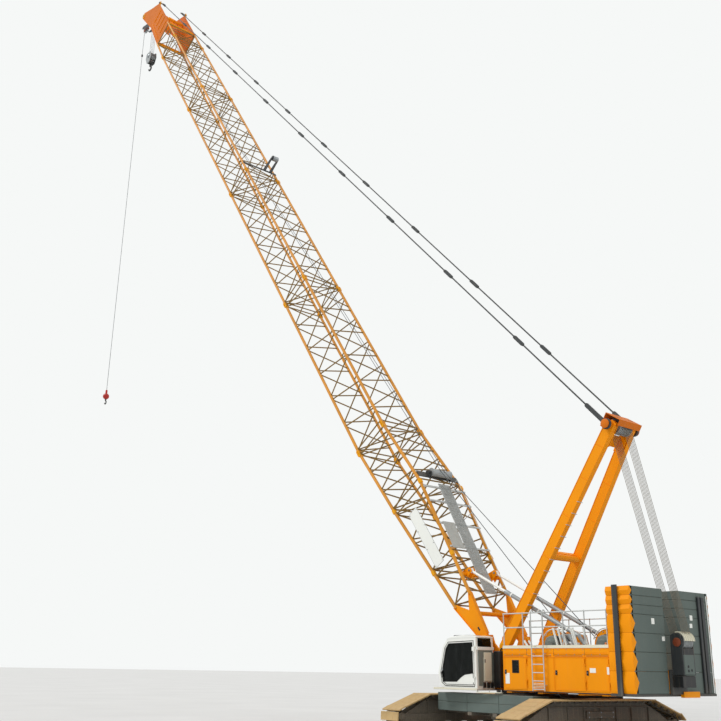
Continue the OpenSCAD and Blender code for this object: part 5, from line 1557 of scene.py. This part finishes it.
@dataclass
class Cab:
    """The driver's cab: what is fixed to its shell, its door and its inside."""

    left: float = 1.2
    right: float = 0.71
    middle: float = 0.955
    door: tuple[Pair, ...] = ((0.3, 0.79), (1.075, 0.79), (1.18, 0.85), (1.215, 1.04), (1.095, 1.5), (1.0, 1.61),
                              (0.315, 1.63))

    def trim(self) -> None:
        """Add seals, the arched roof cap, the wiper, the rear panels and the platform's edges."""
        piece = Piece("cab_trim", "upper")
        a, b = self.right + 0.048, self.left - 0.048
        low, mid, top = (1.2452, 0.86), (1.285, 1.035), (1.1582, 1.5)
        front = [(x, a, z) for x, z in (low, mid, top)] + [(x, b, z) for x, z in (top, mid, low)]
        piece.add(seal(front), RUBBER)
        rear = [(0.241, 0.774, 1.35), (0.248, 0.774, 1.62), (0.248, 1.136, 1.62), (0.241, 1.136, 1.35)]
        piece.add(seal(rear), RUBBER)
        side = [(0.33, self.right, 1.12), (1.08, self.right, 1.12), (1.04, self.right, 1.56), (0.34, self.right, 1.6)]
        piece.add(seal(side), RUBBER)
        piece.add(seal([(x, self.left + 0.001, z) for x, z in inset(self.door, -0.004)], 0.005), RUBBER)
        piece.add(rod((mid[0] - 0.004, a, mid[1]), (mid[0] - 0.004, b, mid[1]), 0.012, 12), WHITE)
        cap = sheet_plate([(0.24, 1.69), (1.035, 1.658), (1.06, 1.675), (0.95, 1.712), (0.8, 1.732), (0.6, 1.742),
                           (0.38, 1.736), (0.235, 1.716)],
                          self.left - self.right, self.middle, 0.008)
        cut(cap, block((0.5, 0.774, 1.6), (0.9, 1.136, 1.8), 0))
        piece.add(cap, WHITE)
        dome = block((0.495, 0.769, 1.726), (0.905, 1.141, 1.746), 0.008)
        piece.add(dome, GLASS)
        pivot, tip = (1.3, 0.93, 1.05), (1.222, 1.0, 1.33)
        piece.add(rod(pivot, tip, 0.006, 8), GRIME)
        piece.add(rod((1.262, 0.985, 1.19), (1.187, 1.012, 1.45), 0.006, 6), RUBBER)
        piece.add(rod((1.27, 0.93, 1.045), (1.305, 0.93, 1.055), 0.014, 12, 0.003), GRIME)
        self.rear(piece)
        self.outside(piece)
        piece.done()

    def rear(self, piece: Piece) -> None:
        """Add the panels, the bar and the small parts on the cab's rear face, and a black block of painted shade in
        the gap behind it.

        Args:
            piece: The piece that gets them.
        """
        piece.add(block((0.21, 0.712, 1.46), (0.244, 1.198, 1.522), 0.008), WHITE)
        piece.add(block((0.222, 0.764, 1.325), (0.24, 1.146, 1.462), 0.003), TRIM)
        piece.add(block((0.232, 0.79, 1.53), (0.245, 1.15, 1.684), 0.004), GLASS)
        piece.add(block((0.2, 0.8, 0.885), (0.234, 1.014, 1.42), 0.01), CREAM)
        piece.add(block((0.214, 1.03, 0.8), (0.232, 1.156, 1.42), 0.004), TRIM)
        piece.add(block((0.214, 0.714, 0.8), (0.232, 0.786, 1.42), 0.004), TRIM)
        piece.add(block((0.192, 0.985, 1.23), (0.202, 1.008, 1.29), 0.003), GRIME)
        piece.add([block((0.2, y, 0.765), (0.23, y + 0.07, 0.87), 0.006) for y in (0.76, 0.86, 0.97)], GRIME)
        # A black block fills the gap between the cab's rear and the house front: painted shade of that gap, not a
        # machine part.
        piece.add(block((0.03, 0.57, 0.77), (0.198, 0.755, 1.45), 0.012), GRIME)
        hoses = [tube([(0.1, 0.6 + 0.03 * k, 1.41), (0.06, 0.6 + 0.03 * k, 1.5), (-0.06, 0.59 + 0.02 * k, 1.44),
                       (-0.1, 0.58, 1.15)], 0.011, 8) for k in range(3)]
        piece.add(hoses, RUBBER)

    def outside(self, piece: Piece) -> None:
        """Add the platform's edges, its step, the grab rail and the mirror.

        Args:
            piece: The piece that gets them.
        """
        edges = [block((0.18, 1.256, 0.722), (1.362, 1.266, 0.756), 0.002),
                 block((1.356, 0.69, 0.722), (1.366, 1.262, 0.756), 0.002)]
        edges += [block((-0.42, 1.19, 0.684), (0.22, 1.25, 0.698), 0.002)]
        piece.add(edges, CREAM)
        piece.add([rod((x, 1.22, 0.69), (x, 1.22, 0.742), 0.009, 8) for x in (-0.4, -0.1, 0.2)], RAIL)
        rail = [(0.262, 1.198, 0.95), (0.262, 1.232, 0.97), (0.262, 1.232, 1.5), (0.262, 1.198, 1.52)]
        piece.add(tube(rail, 0.009, 10, False), WHITE)
        arm = [(1.2, 0.712, 1.2), (1.26, 0.66, 1.24), (1.26, 0.64, 1.4)]
        piece.add(tube(arm, 0.008, 8), GRIME)
        piece.add(block((1.25, 0.59, 1.36), (1.275, 0.67, 1.52), 0.01), GRIME)

    def door_leaf(self) -> None:
        """Build the cab's door: frame, glass, lower panel, seals, grip and knuckles."""
        piece = Piece("cab_door_dressed", "cab_door")
        y = self.left - 0.015
        leaf = sheet_plate(inset(self.door, 0.006), 0.03, y, 0)
        cut(leaf, sheet_plate(inset(self.door, 0.024), 0.2, y, 0))
        piece.add(leaf, WHITE)
        lower = [(0.32, 0.808), (1.072, 0.808), (1.165, 0.862), (0.78, 0.868), (0.66, 0.95), (0.56, 1.0),
                 (0.32, 1.03)]
        piece.add(sheet_plate(lower, 0.024, y, 0.003), WHITE)
        piece.add(sheet_plate(inset(self.door, 0.018), 0.008, y, 0), GLASS)
        edge = [(x, self.left + 0.001, z) for x, z in inset(self.door, 0.027)]
        piece.add(seal(edge, 0.005), RUBBER)
        ridge = [(x, self.left - 0.002, z + 0.004) for x, z in lower[2:]]
        piece.add([rod(a, b, 0.006, 6) for a, b in zip(ridge, ridge[1:])], RUBBER)
        grip = [(1.175, self.left, 0.95), (1.175, self.left + 0.027, 0.956), (1.175, self.left + 0.027, 1.044),
                (1.175, self.left, 1.05)]
        piece.add(tube(grip, 0.008, 10, False), GRIME)
        piece.add(block((1.15, self.left - 0.002, 1.07), (1.19, self.left + 0.006, 1.11), 0.003), BRIGHT)
        for z in (0.9, 1.48):
            piece.add(rod((0.292, self.left + 0.013, z - 0.038), (0.292, self.left + 0.013, z + 0.038), 0.008, 16),
                      WHITE)
            piece.add(block((0.292, self.left + 0.008, z - 0.038), (0.344, self.left + 0.018, z + 0.038), 0.002),
                      WHITE)
            piece.add(block((0.332, self.left - 0.001, z - 0.038), (0.344, self.left + 0.012, z + 0.038), 0.002),
                      WHITE)
        piece.done("cab_door")

    def inside(self) -> None:
        """Build the seat's frame, the consoles with their levers, and the display."""
        piece = Piece("cab_interior", "upper")
        m, floor = self.middle, 0.7675
        piece.add(block((0.49, m - 0.1, floor), (0.69, m + 0.1, floor + 0.03), 0.006), GRIME)
        bellows = [(0.001, 0)] + [(0.08 + (0.016 if k % 2 else 0.0), 0.02 * k) for k in range(8)] + [(0.001, 0.14)]
        piece.add(lathe(bellows, moved((0.59, m, floor + 0.025)), 24), RUBBER)
        piece.add(block((0.45, m - 0.122, floor + 0.165), (0.738, m + 0.122, floor + 0.184), 0.008), TRIM)
        piece.add(sheet_plate([(0.398, 0.99), (0.41, 0.975), (0.37, 1.36), (0.358, 1.36)], 0.215, m, 0.003), TRIM)
        for side in Side:
            y = m + side.value * 0.17
            piece.add(block((0.5, y - 0.03, floor), (0.8, y + 0.03, floor + 0.29), 0.012), TRIM)
            piece.add(block((0.5, y - 0.03, floor + 0.29), (0.7, y + 0.03, floor + 0.328), 0.014), RUBBER)
            lever = lathe([(0.001, 0), (0.026, 0), (0.012, 0.03), (0.008, 0.06), (0.014, 0.075), (0.016, 0.11),
                           (0.001, 0.12)],
                          moved((0.76, y, floor + 0.288)), 14)
            piece.add(lever, GRIME)
        piece.add(block((1.0, m - 0.21, 1.16), (1.024, m - 0.08, 1.27), 0.008), GRIME)
        piece.add(tube([(1.06, m - 0.16, 0.78), (1.05, m - 0.16, 1.0), (1.015, m - 0.15, 1.18)], 0.009, 8), GRIME)
        piece.add([block((1.0, m + y - 0.03, 0.772), (1.08, m + y + 0.03, 0.8), 0.006) for y in (-0.07, 0.07)], GRIME)
        piece.done("cab_seat")
        pads = (("driver_seat_cushion", block((0.462, m - 0.112, 0.96), (0.73, m + 0.112, 0.99), 0.008)),
                ("driver_seat_back",
                 sheet_plate([(0.416, 0.992), (0.456, 0.992), (0.411, 1.355), (0.376, 1.355)], 0.2, m, 0.006)))
        for name, form in pads:
            pad = Piece(name, "upper", angle=60.0)
            pad.add(inflated(form, 0.01), CLOTH)
            pad.done("cab_seat")

    def build(self) -> None:
        """Build the cab's looks."""
        self.trim()
        self.door_leaf()
        self.inside()


# Rigging

BUNDLE = Coat("Greased luffing rope", "857d6e", "rope_steel", gloss=0.6, metallic=0.2, dust=0.1, relief=Relief.ROPE,
              bump=0.6)
FALLS = Coat("Pale wire rope", "a4adb3", "rope_steel", gloss=0.45, metallic=0.4, dust=0.1, relief=Relief.ROPE,
             bump=0.9)


def towards(start: Triple, end: Triple) -> tuple[Matrix, float]:
    """A frame at a point whose X axis runs to another one in the same XZ plane, and the distance."""
    dx, dz = end[0] - start[0], end[2] - start[2]
    return moved(start) @ Matrix.Rotation(-atan2(dz, dx), 4, "Y"), hypot(dx, dz)


@dataclass
class Rigging:
    """The counterweights, the mast, its stays and ropes, and what hangs from the boom."""

    mast_pin: Triple = (0.05, 0.0, 1.525)
    mast_head: Triple = (-2.575, 0.0, 5.6)
    block: Pair = (-3.53, 1.6)
    hook: Pair = (19.9332, 26.1892)
    ball: Pair = (20.8745, 11.0494)
    front: float = -2.87
    rear: float = -3.35
    levels: tuple[float, ...] = (0.7505, 1.1105, 1.419, 1.7275, 2.036, 2.1905, 2.345, 2.4995)

    def weights(self) -> None:
        """Shape each slab, with its painted outer end and its plates."""
        for side in Side:
            name = "counterweight_" + side.name.lower()
            piece = Piece(name + "_slabs", "upper", flip=side is Side.RIGHT)
            for z0, z1 in zip(self.levels, self.levels[1:]):
                top, mid = z1 - 0.0015, (z0 + z1) / 2
                slab = block((self.rear, 0.24, z0 + 0.001), (self.front, 1.2, top), 0.009)
                piece.add(slab, SLAB)
                piece.add(block((self.rear, 1.15, z0 + 0.001), (self.rear + 0.008, 1.226, top), 0.002), SLAB)
                end = [(1.19, z0 + 0.001), (1.224, z0 + 0.001), (1.25, mid), (1.224, top), (1.19, top)]
                piece.add(self.turned(end, self.rear + 0.006, self.front), ORANGE)
                tip = 1.215 - (0.055 if z1 - z0 < 0.2 else 0.1)
                dart = [(1.23, z0 + 0.004), (1.215, z0 + 0.004), (tip, mid), (1.215, top - 0.004),
                        (1.23, top - 0.004), (1.25, mid)]
                if side is Side.LEFT:
                    piece.add(self.turned(dart, self.rear - 0.004, self.rear + 0.007), ORANGE)
            plates = {Side.LEFT: ((0.545, 0.635, 1.885, 1.985), (0.27, 0.35, 1.615, 1.69)),
                      Side.RIGHT: ((0.58, 0.665, 1.995, 2.085), (0.555, 0.64, 1.865, 1.94))}
            for y0, y1, z0, z1 in plates[side]:
                piece.add(block((self.rear - 0.006, y0, z0), (self.rear + 0.004, y1, z1), 0.002), WHITE)
            if side is Side.RIGHT:
                bars_at = [block((self.rear - 0.04, y0, 0.76), (self.rear - 0.001, y1, 2.42), 0.005) for y0,
                           y1 in ((0.84, 0.91), (0.95, 1.04))]
                piece.add(bars_at, DARK)
                piece.add(block((self.rear - 0.012, 1.16, 0.76), (self.rear - 0.001, 1.185, 2.45), 0.003), WHITE)
            piece.done(name)

    def turned(self, outline: Sequence[Pair], x0: float, x1: float) -> Shape:
        """A plate between two places along X, from an outline of (y, z) points.

        Args:
            outline: The points, in order.
            x0: The plate's rear face.
            x1: The plate's front face.

        Returns:
            The plate.
        """
        plate = sheet_plate(outline, x1 - x0, (x0 + x1) / 2, 0.002)
        plate.data.transform(Matrix(((0, 1, 0, 0), (1, 0, 0, 0), (0, 0, 1, 0), (0, 0, 0, 1))))
        plate.data.flip_normals()
        return plate

    def luffing(self) -> None:
        """Build the lower luffing block with its sheaves, cover, valve block and yellow plate."""
        piece = Piece("luffing_block_dressed", "upper")
        x, z = self.block
        cheek = [(x - 0.09, 1.06), (-3.3915, 1.06), (-3.3915, 1.14), (x + 0.13, z + 0.12), (x + 0.06, z + 0.15),
                 (x - 0.05, z + 0.15), (x - 0.09, z + 0.1)]
        piece.pair(sheet_plate(cheek, 0.024, 0.17, 0.004), DARK)
        piece.add(cross_rod(x, z, 0.034, 0.39), DARK)
        piece.pair(lathe([(0.001, 0), (0.075, 0), (0.075, 0.014), (0.05, 0.03), (0.001, 0.032)],
                         along_y(x, z, 0.182), 24), RUST_ORANGE)
        for k in range(-3, 4):
            piece.add(sheave(x, z, 0.118, 0.026, k * 0.04, 0.034), SILVER)
        turns, rise = range(72, 181, 12), z + 0.02
        cover = arc(x, rise, 0.138, turns, 0.15) + arc(x, rise, 0.128, reversed(turns), 0.14)
        piece.add(sheet_plate(cover, 0.32, 0, 0.002), CREAM)
        ribs = arc(x, rise, 0.15, turns, 0.162) + arc(x, rise, 0.136, reversed(turns), 0.148)
        for y in (-0.15, -0.09, -0.03, 0.03, 0.09, 0.15):
            piece.add(sheet_plate(ribs, 0.012, y, 0.001), CREAM)
        piece.add(block((x - 0.1, -0.155, 1.065), (x + 0.08, 0.155, 1.4), 0.012), SLAB)
        piece.add(block((x - 0.094, -0.155, 1.39), (x + 0.06, 0.155, 1.5), 0.006), GRIME)
        # Black discs stand for the valve block's open ports: painted shade in the holes.
        holes = [rod((x - 0.102, y, h), (x - 0.09, y, h), 0.024, 18) for y,
                 h in ((0.05, 1.2), (-0.05, 1.14), (0.05, 1.13))]
        piece.add(holes, RUBBER)
        piece.add(block((-3.401, -0.235, 0.742), (-3.352, 0.235, 1.15), 0.004), DARK)
        piece.add(block((x - 0.07, -0.2, 0.86), (-3.391, 0.2, 1.05), 0.008), GRIME)
        piece.add(block((-3.415, -0.58, 0.69), (-3.355, -0.08, 0.745), 0.004), ORANGE)
        piece.add(block((-3.425, -0.58, 0.69), (-3.412, -0.08, 0.79), 0.003), ORANGE)
        piece.done("luffing_block")

    def mast(self) -> None:
        """Add the mast's bosses, flanges, guards and nuts, and turn its sheaves."""
        place, length = towards(self.mast_pin, self.mast_head)
        lean = atan2(0.275, length)
        piece = Piece("mast_fittings", "mast", place)
        leg = moved((0, 0.575, 0)) @ Matrix.Rotation(-lean, 4, "Z")
        flanges = [block((0.12, -0.064, z), (length - 0.1, 0.064, z + 0.012), 0.003) for z in (-0.112, 0.1)]
        flanges += [block((s, -0.062, -0.106), (s + 0.012, 0.062, 0.106), 0.002)
                    for s in (0.4, 1.2, 2.0, 2.9, 3.7, 4.4)]
        web = copied(join(flanges), (leg,))
        piece.pair(web, ORANGE)
        boss = [(0.045, 0), (0.086, 0), (0.086, 0.014), (0.07, 0.022), (0.045, 0.022)]
        piece.pair(lathe(boss, along_y(0, 0, 0.63), 28), CAST_ORANGE)
        nut = [(0.061, 0), (0.09, 0), (0.09, 0.02), (0.07, 0.03), (0.001, 0.03), (0.001, 0.025), (0.061, 0.022)]
        piece.pair(lathe(nut, along_y(length, 0, 0.49), 28), HEAD_ORANGE)
        cheek = [(length - 0.5, -0.09), (length + 0.05, -0.11), (length + 0.11, -0.02), (length + 0.07, 0.1),
                 (length - 0.4, 0.1)]
        for y in (0.215, 0.29):
            piece.pair(sheet_plate(cheek, 0.016, y, 0.003), ORANGE)
        guards = [cross_rod(length + 0.165 * cos(a), 0.165 * sin(a), 0.01, 0.43, sides=8) for a in (0.5, -0.6)]
        piece.add(guards, GRIME)
        ears = [sheet_plate([(length + 0.02, -0.03), (length + 0.19, -0.06), (length + 0.19, 0.06),
                             (length + 0.02, 0.03)], 0.012, y) for y in (-0.215, 0.215)]
        piece.add(ears, GRIME)
        hood = [(length - 0.1, -0.19), (length + 0.185, -0.19), (length + 0.185, 0.19), (length + 0.06, 0.19),
                (length + 0.06, 0.175),
                (length + 0.17, 0.175), (length + 0.17, -0.175), (length - 0.1, -0.175)]
        piece.add(sheet_plate(hood, 0.71, 0, 0.003), HEAD_ORANGE)
        rungs = [block((0.5 + 0.25 * k, -0.09, 0.112), (0.512 + 0.25 * k, 0.09, 0.124), 0.002) for k in range(12)]
        piece.add(copied(join(rungs), (leg,)), RAIL)
        piece.done()
        wheels = Piece("mast_rope_sheaves", "mast_sheaves")
        for k in range(-4, 5):
            wheels.add(sheave(self.mast_head[0], self.mast_head[2], 0.15, 0.03, k * 0.044, 0.0608), SILVER)
        wheels.done("mast_sheaves")

    def pendants(self) -> None:
        """Build both pendant lines from rods, forked couplers and pins."""
        place, length = towards(self.mast_head, (18.28276, 0.0, 27.73881))
        piece = Piece("pendant_lines", "pendants", place)
        step, half = length / 5, length / 10
        disc = [(0.0608, -0.028), (0.1, -0.028), (0.105, -0.022), (0.105, 0.022), (0.1, 0.028), (0.0608, 0.028)]
        runs = [((k * step + 0.1, 0, 0), ((k + 1) * step - (0.2 if k == 4 else 0.1), 0, 0)) for k in range(5)]
        plates = []
        for mid in [k * half for k in range(1, 10)]:
            plates += [sheet_plate(capsule(mid - 0.15, mid + 0.15, 0, 0.036), 0.012, y, 0.003) for y in (-0.02, 0.02)]
            plates += [cross_rod(mid + s, 0, 0.016, 0.064, sides=12) for s in (-0.13, 0.13)]
            plates += [block((mid + s - 0.045, -0.013, -0.03), (mid + s + 0.045, 0.013, 0.03), 0.006)
                       for s in (-0.13, 0.13)]
        plates.append(sheet_plate(capsule(0.13, 0.62, 0, 0.044), 0.03, 0, 0.004))
        plates.append(sheet_plate(capsule(length - 0.22, length, 0, 0.038), 0.04, 0, 0.004))
        places = [moved((0, y, 0)) for y in (-0.45, 0.45)]
        piece.add(copied(bars(runs, 0.017, 10), places), PENDANT)
        piece.add(copied(join(plates), places), PENDANT)
        piece.add(copied(lathe(disc, along_y(0, 0), 28), places), PENDANT)
        piece.done("pendants")

    def backstops(self) -> None:
        """Build the grey tubes and white rods of the boom's backstops."""
        place, length = towards((-1.685, 0.0, 1.685), (1.10005, 0.0, 3.08601))
        tube_len = length * 0.66
        sides = [moved((0, y, 0)) for y in (-0.39, 0.39)]
        outer = Piece("backstop_tubes_dressed", "stop_tubes", place)
        shell = [(0.001, 0.03), (0.04, 0.03), (0.042, 0.08), (0.042, tube_len - 0.1), (0.046, tube_len - 0.09),
                 (0.046, tube_len),
                 (0.031, tube_len), (0.031, 0.14), (0.001, 0.14)]
        outer.add(copied(lathe(shell, facing((0, 0, 0), (1, 0, 0)), 24), sides), SILVER)
        eye = [(0.0255, -0.047), (0.062, -0.047), (0.062, 0.047), (0.0255, 0.047)]
        outer.add(copied(lathe(eye, along_y(0, 0), 28), sides), SILVER)
        rings = [((s, 0, 0), (s + 0.03, 0, 0)) for s in (0.35, 1.1, tube_len - 0.2)]
        outer.add(copied(bars(rings, 0.0445, 20), sides), WHITE)
        outer.done("backstop_tubes")
        inner = Piece("backstop_rods_dressed", "stop_rods", place)
        inner.add(copied(rod((length * 0.34, 0, 0), (length - 0.03, 0, 0), 0.0255, 20, 0.004), sides), WHITE)
        eye = [(0.0245, -0.03), (0.052, -0.03), (0.052, 0.03), (0.0245, 0.03)]
        inner.add(copied(lathe(eye, along_y(length, 0), 28), sides), WHITE)
        inner.done("backstop_rods")

    def ropes(self) -> None:
        """Reeve the luffing tackle and run the hoist ropes to the boom and along it."""
        piece = Piece("luffing_ropes", "mast")
        (x0, z0), (x1, _, z1) = self.block, self.mast_head
        way = Vector((x1 - x0, 0, z1 - z0)).normalized()
        off = Vector((way.z, 0, -way.x))
        lines = []
        for k in range(-3, 4):
            for side in (-1, 1):
                a = Vector((x0, 0.04 * k, z0)) + off * side * 0.112
                b = Vector((x1, 0.044 * k, z1)) + off * side * 0.143
                lines.append(tube([a, b], 0.0055, 6, False))
        piece.add(lines, BUNDLE)
        piece.bent()
        crane = Boom()
        for name, x, y, z in (("main_hoist_rope", -1.05, 0.06, 1.775), ("whip_hoist_rope", -1.97, -0.06, 1.41)):
            low = Piece(name + "_to_boom", "boom")
            start, end = Vector((x, y, z)), crane.point(4.12, 0.69, y)
            low.add(tube([start, end], 0.008, 8, False), ROPE)
            low.bent()
            run = Piece(name + "_on_boom", "boom", crane.place())
            run.add(tube([(4.12, y, 0.69), (32.46, y / 2, -0.49)], 0.007, 8, False), ROPE)
            run.done()

    def hook_block(self) -> None:
        """Build the hook block with its falls, cheeks, sheaves, swivel and hook."""
        x, z = self.hook
        piece = Piece("hook_block_dressed", "hook_block")
        falls = [0.058 * k for k in (-1.5, -0.5, 0.5, 1.5)]
        piece.add(bars([((x, y, z + 0.12), (x, y, 27.88)) for y in falls], 0.008), FALLS)
        for y in falls:
            piece.add(sheave(x, z, 0.19, 0.04, y, 0.04), SILVER)
        cheek = [(x - 0.19, z + 0.16), (x - 0.1, z + 0.2), (x + 0.1, z + 0.2), (x + 0.19, z + 0.16),
                 (x + 0.23, z - 0.06), (x + 0.1, z - 0.33), (x - 0.1, z - 0.33), (x - 0.23, z - 0.06)]
        for y, finish in ((-0.125, DARK), (0.125, SILVER)):
            piece.add(sheet_plate(cheek, 0.026, y, 0.005), finish)
            nut = lathe([(0.04, 0), (0.08, 0), (0.08, 0.012), (0.05, 0.03), (0.001, 0.03), (0.001, 0.02),
                         (0.04, 0.02)], along_y(x, z, 0.138), 24)
            piece.add(nut if y > 0 else copied(nut, (MIRROR,)), BRIGHT)
        piece.add(block((x - 0.09, -0.112, z - 0.33), (x + 0.09, 0.112, z - 0.24), 0.012), DARK)
        guards = [cross_rod(x + a, z + b, 0.012, 0.26, sides=10) for a,
                  b in ((-0.2, 0.06), (0.2, 0.06), (-0.12, -0.24), (0.12, -0.24))]
        piece.add(guards, BRIGHT)
        swivel = [(0.001, -0.47), (0.04, -0.47), (0.046, -0.44), (0.046, -0.36), (0.06, -0.35), (0.06, -0.325),
                  (0.001, -0.325)]
        piece.add(lathe(swivel, moved((x, 0, z)), 24), GRIME)
        piece.add(self.claw(x, z - 0.56, 0.13, 0.068, 0.052), GRIME)
        piece.done("hook_block")

    def claw(self, x: float, z: float, outer: float, inner: float, thick: float) -> Shape:
        """A forged hook with its throat open towards +X.

        Args:
            x: The middle of its bowl.
            z: The height of its bowl's middle.
            outer: The radius of its outside.
            inner: The radius of its inside.
            thick: Its thickness along Y.

        Returns:
            The hook.
        """
        turns, off = range(75, 361, 15), 0.06 * outer
        bowl = arc(x, z, outer, turns) + arc(x + off, z + off, inner, reversed(turns))
        return sheet_plate(bowl, thick, 0, (outer - inner) * 0.22)

    def whip_ball(self) -> None:
        """Build the hook ball with its swivel, its hook, its long rope and the trip weight."""
        x, z = self.ball
        piece = Piece("whip_ball_dressed", "whip_ball", moved((x, 0, z)))
        profile = [(0.001, -0.12)] + arc(0, 0, 0.12, range(-84, 66, 10)) + [(0.044, 0.115), (0.04, 0.125),
                                                                            (0.04, 0.235), (0.028, 0.258), (0.001,
                                                                                                            0.26)]
        piece.add(lathe(profile, steps=32), RED)
        shank = [(0.001, -0.19), (0.026, -0.19), (0.026, -0.14), (0.034, -0.135), (0.034, -0.112), (0.001, -0.112)]
        piece.add(lathe(shank, steps=20), GRIME)
        piece.add(self.claw(0, -0.25, 0.08, 0.042, 0.036), GRIME)
        piece.add(rod((0, -0.03, 0.2), (0, 0.03, 0.2), 0.012, 10), BRIGHT)
        piece.add(bars([((0, 0, 0.25), (0, 0, 17.0))], 0.008), ROPE)
        piece.add(rod((0, 0, 15.68), (0, 0, 15.79), 0.036, 16, 0.008), GRIME)
        piece.done("whip_ball")

    def build(self) -> None:
        """Build the rigging's looks."""
        self.weights()
        self.luffing()
        self.mast()
        self.pendants()
        self.backstops()
        self.ropes()
        self.hook_block()
        self.whip_ball()


# Studio


@dataclass(frozen=True)
class Studio:
    """The pale floor, the soft light and the camera at the photograph's view."""

    eye: Triple = (-13.05, 15.35, 1.085)
    heading: float = -0.70
    pitch: float = 0.323
    roll: float = 0.0163
    lens: float = 47.28
    shift: Pair = (-0.0057, -0.0125)

    def camera(self) -> None:
        """Place the camera where the photograph was taken."""
        c, s = cos(self.heading), sin(self.heading)
        forward = Vector((c * cos(self.pitch), s * cos(self.pitch), sin(self.pitch)))
        right = Vector((s, -c, 0)).normalized()
        up = right.cross(forward)
        cr, sr = cos(self.roll), sin(self.roll)
        side, top = right * cr + up * sr, up * cr - right * sr
        turn = Matrix((side, top, -forward)).transposed().to_4x4()
        data = bpy.data.cameras.new("Photograph view")
        data.lens, data.sensor_width, data.sensor_fit = self.lens, 36.0, "HORIZONTAL"
        data.shift_x, data.shift_y = self.shift
        data.clip_start, data.clip_end = 0.1, 500.0
        camera = bpy.data.objects.new("Photograph view", data)
        camera.matrix_world = moved(self.eye) @ turn
        bpy.context.scene.collection.objects.link(camera)
        bpy.context.scene.camera = camera

    def floor(self) -> None:
        """Lay the plain pale floor."""
        deselect()
        bpy.ops.mesh.primitive_circle_add(vertices=96, radius=240, fill_type="NGON", location=(0, 0, -0.003))
        floor = settle(bpy.context.object)
        floor.name = "studio_floor"
        made = bpy.data.materials.new("Pale floor")
        made.use_nodes = True
        made.node_tree.nodes.clear()
        g = Graph(made.node_tree)
        tone = g.span(g.noise(g.place(), 0.35, 3.0), 0.3, 0.7, 0.0, 1.0)
        colour = g.mix(tone, linear("d8d8d6"), linear("dededc"))
        shader = g.add("ShaderNodeBsdfPrincipled",
                       {"Base Color": colour, "Roughness": 0.9, "Specular IOR Level": 0.1})
        g.add("ShaderNodeOutputMaterial", {0: shader.outputs[0]})
        floor.data.materials.append(made)

    def light(self) -> None:
        """Set the soft sky and the key and fill suns."""
        world = bpy.data.worlds.new("Studio sky")
        bpy.context.scene.world = world
        world.use_nodes = True
        world.node_tree.nodes.clear()
        g = Graph(world.node_tree)
        path = g.add("ShaderNodeLightPath").outputs
        seen = g.math("MAXIMUM", path["Is Camera Ray"],
                      g.math("MAXIMUM", path["Is Glossy Ray"], path["Is Transmission Ray"]))
        sky = g.add("ShaderNodeBackground", {"Color": linear("f6f8f7"), "Strength": 1.0})
        soft = g.add("ShaderNodeBackground", {"Color": (1.0, 1.0, 1.0, 1.0), "Strength": 0.62})
        both = g.add("ShaderNodeMixShader", {0: seen, 1: soft.outputs[0], 2: sky.outputs[0]})
        g.add("ShaderNodeOutputWorld", {0: both.outputs[0]})
        suns = (("Key sun", 1.5, (0.9, 1.15, 1.9), 18.0), ("Fill sun", 0.35, (-1.6, -0.6, 1.2), 40.0))
        for name, strength, source, spread in suns:
            data = bpy.data.lights.new(name, "SUN")
            data.energy, data.angle = strength, radians(spread)
            lamp = bpy.data.objects.new(name, data)
            lamp.rotation_euler = Vector(source).to_track_quat("Z", "Y").to_euler()
            bpy.context.scene.collection.objects.link(lamp)

    def build(self) -> None:
        """Set up the camera, the floor and the lights."""
        self.camera()
        self.floor()
        self.light()
        view = bpy.context.scene.view_settings
        view.view_transform = "Standard"


def dress_nodes() -> None:
    """Give every CAD node that stays its own weathered finish."""
    table = {
        DARK: "carbody track_frames track_wheels engine counterweight_tray boom_rope_roller hook_block",
        SHOE: "track_near track_far",
        SLAB: "car_ballast counterweight_left counterweight_right",
        GRIME: "slew_ring",
        TREAD: "deck",
        RAIL: "handrails ladder boom_walkway",
        WHITE: "winch_beds cab_shell cab_door boom_sign backstop_tubes",
        SILVER: "luffing_block head_sheaves mast_sheaves backstop_rods",
        GLASS: "cab_glass",
        TRIM: "cab_seat",
        PENDANT: "pendants",
        RED: "whip_ball",
    }
    finishes = {name: finish for finish, names in table.items() for name in names.split()}
    for name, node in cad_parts.items():
        node.data.materials.clear()
        node.data.materials.append(finishes.get(name, ORANGE).material())


def main() -> None:
    """Dress the crane, then light and frame it."""
    logging.basicConfig(level=logging.INFO, format="%(name)s: %(message)s")
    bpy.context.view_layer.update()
    deselect()
    Studio().build()
    dress_nodes()
    for part in PARTS:
        part().build()
        log.info("built %s", part.__name__)


PARTS = (Boom, Undercarriage, House, Cab, Rigging)

if __name__ == "__main__":
    main()
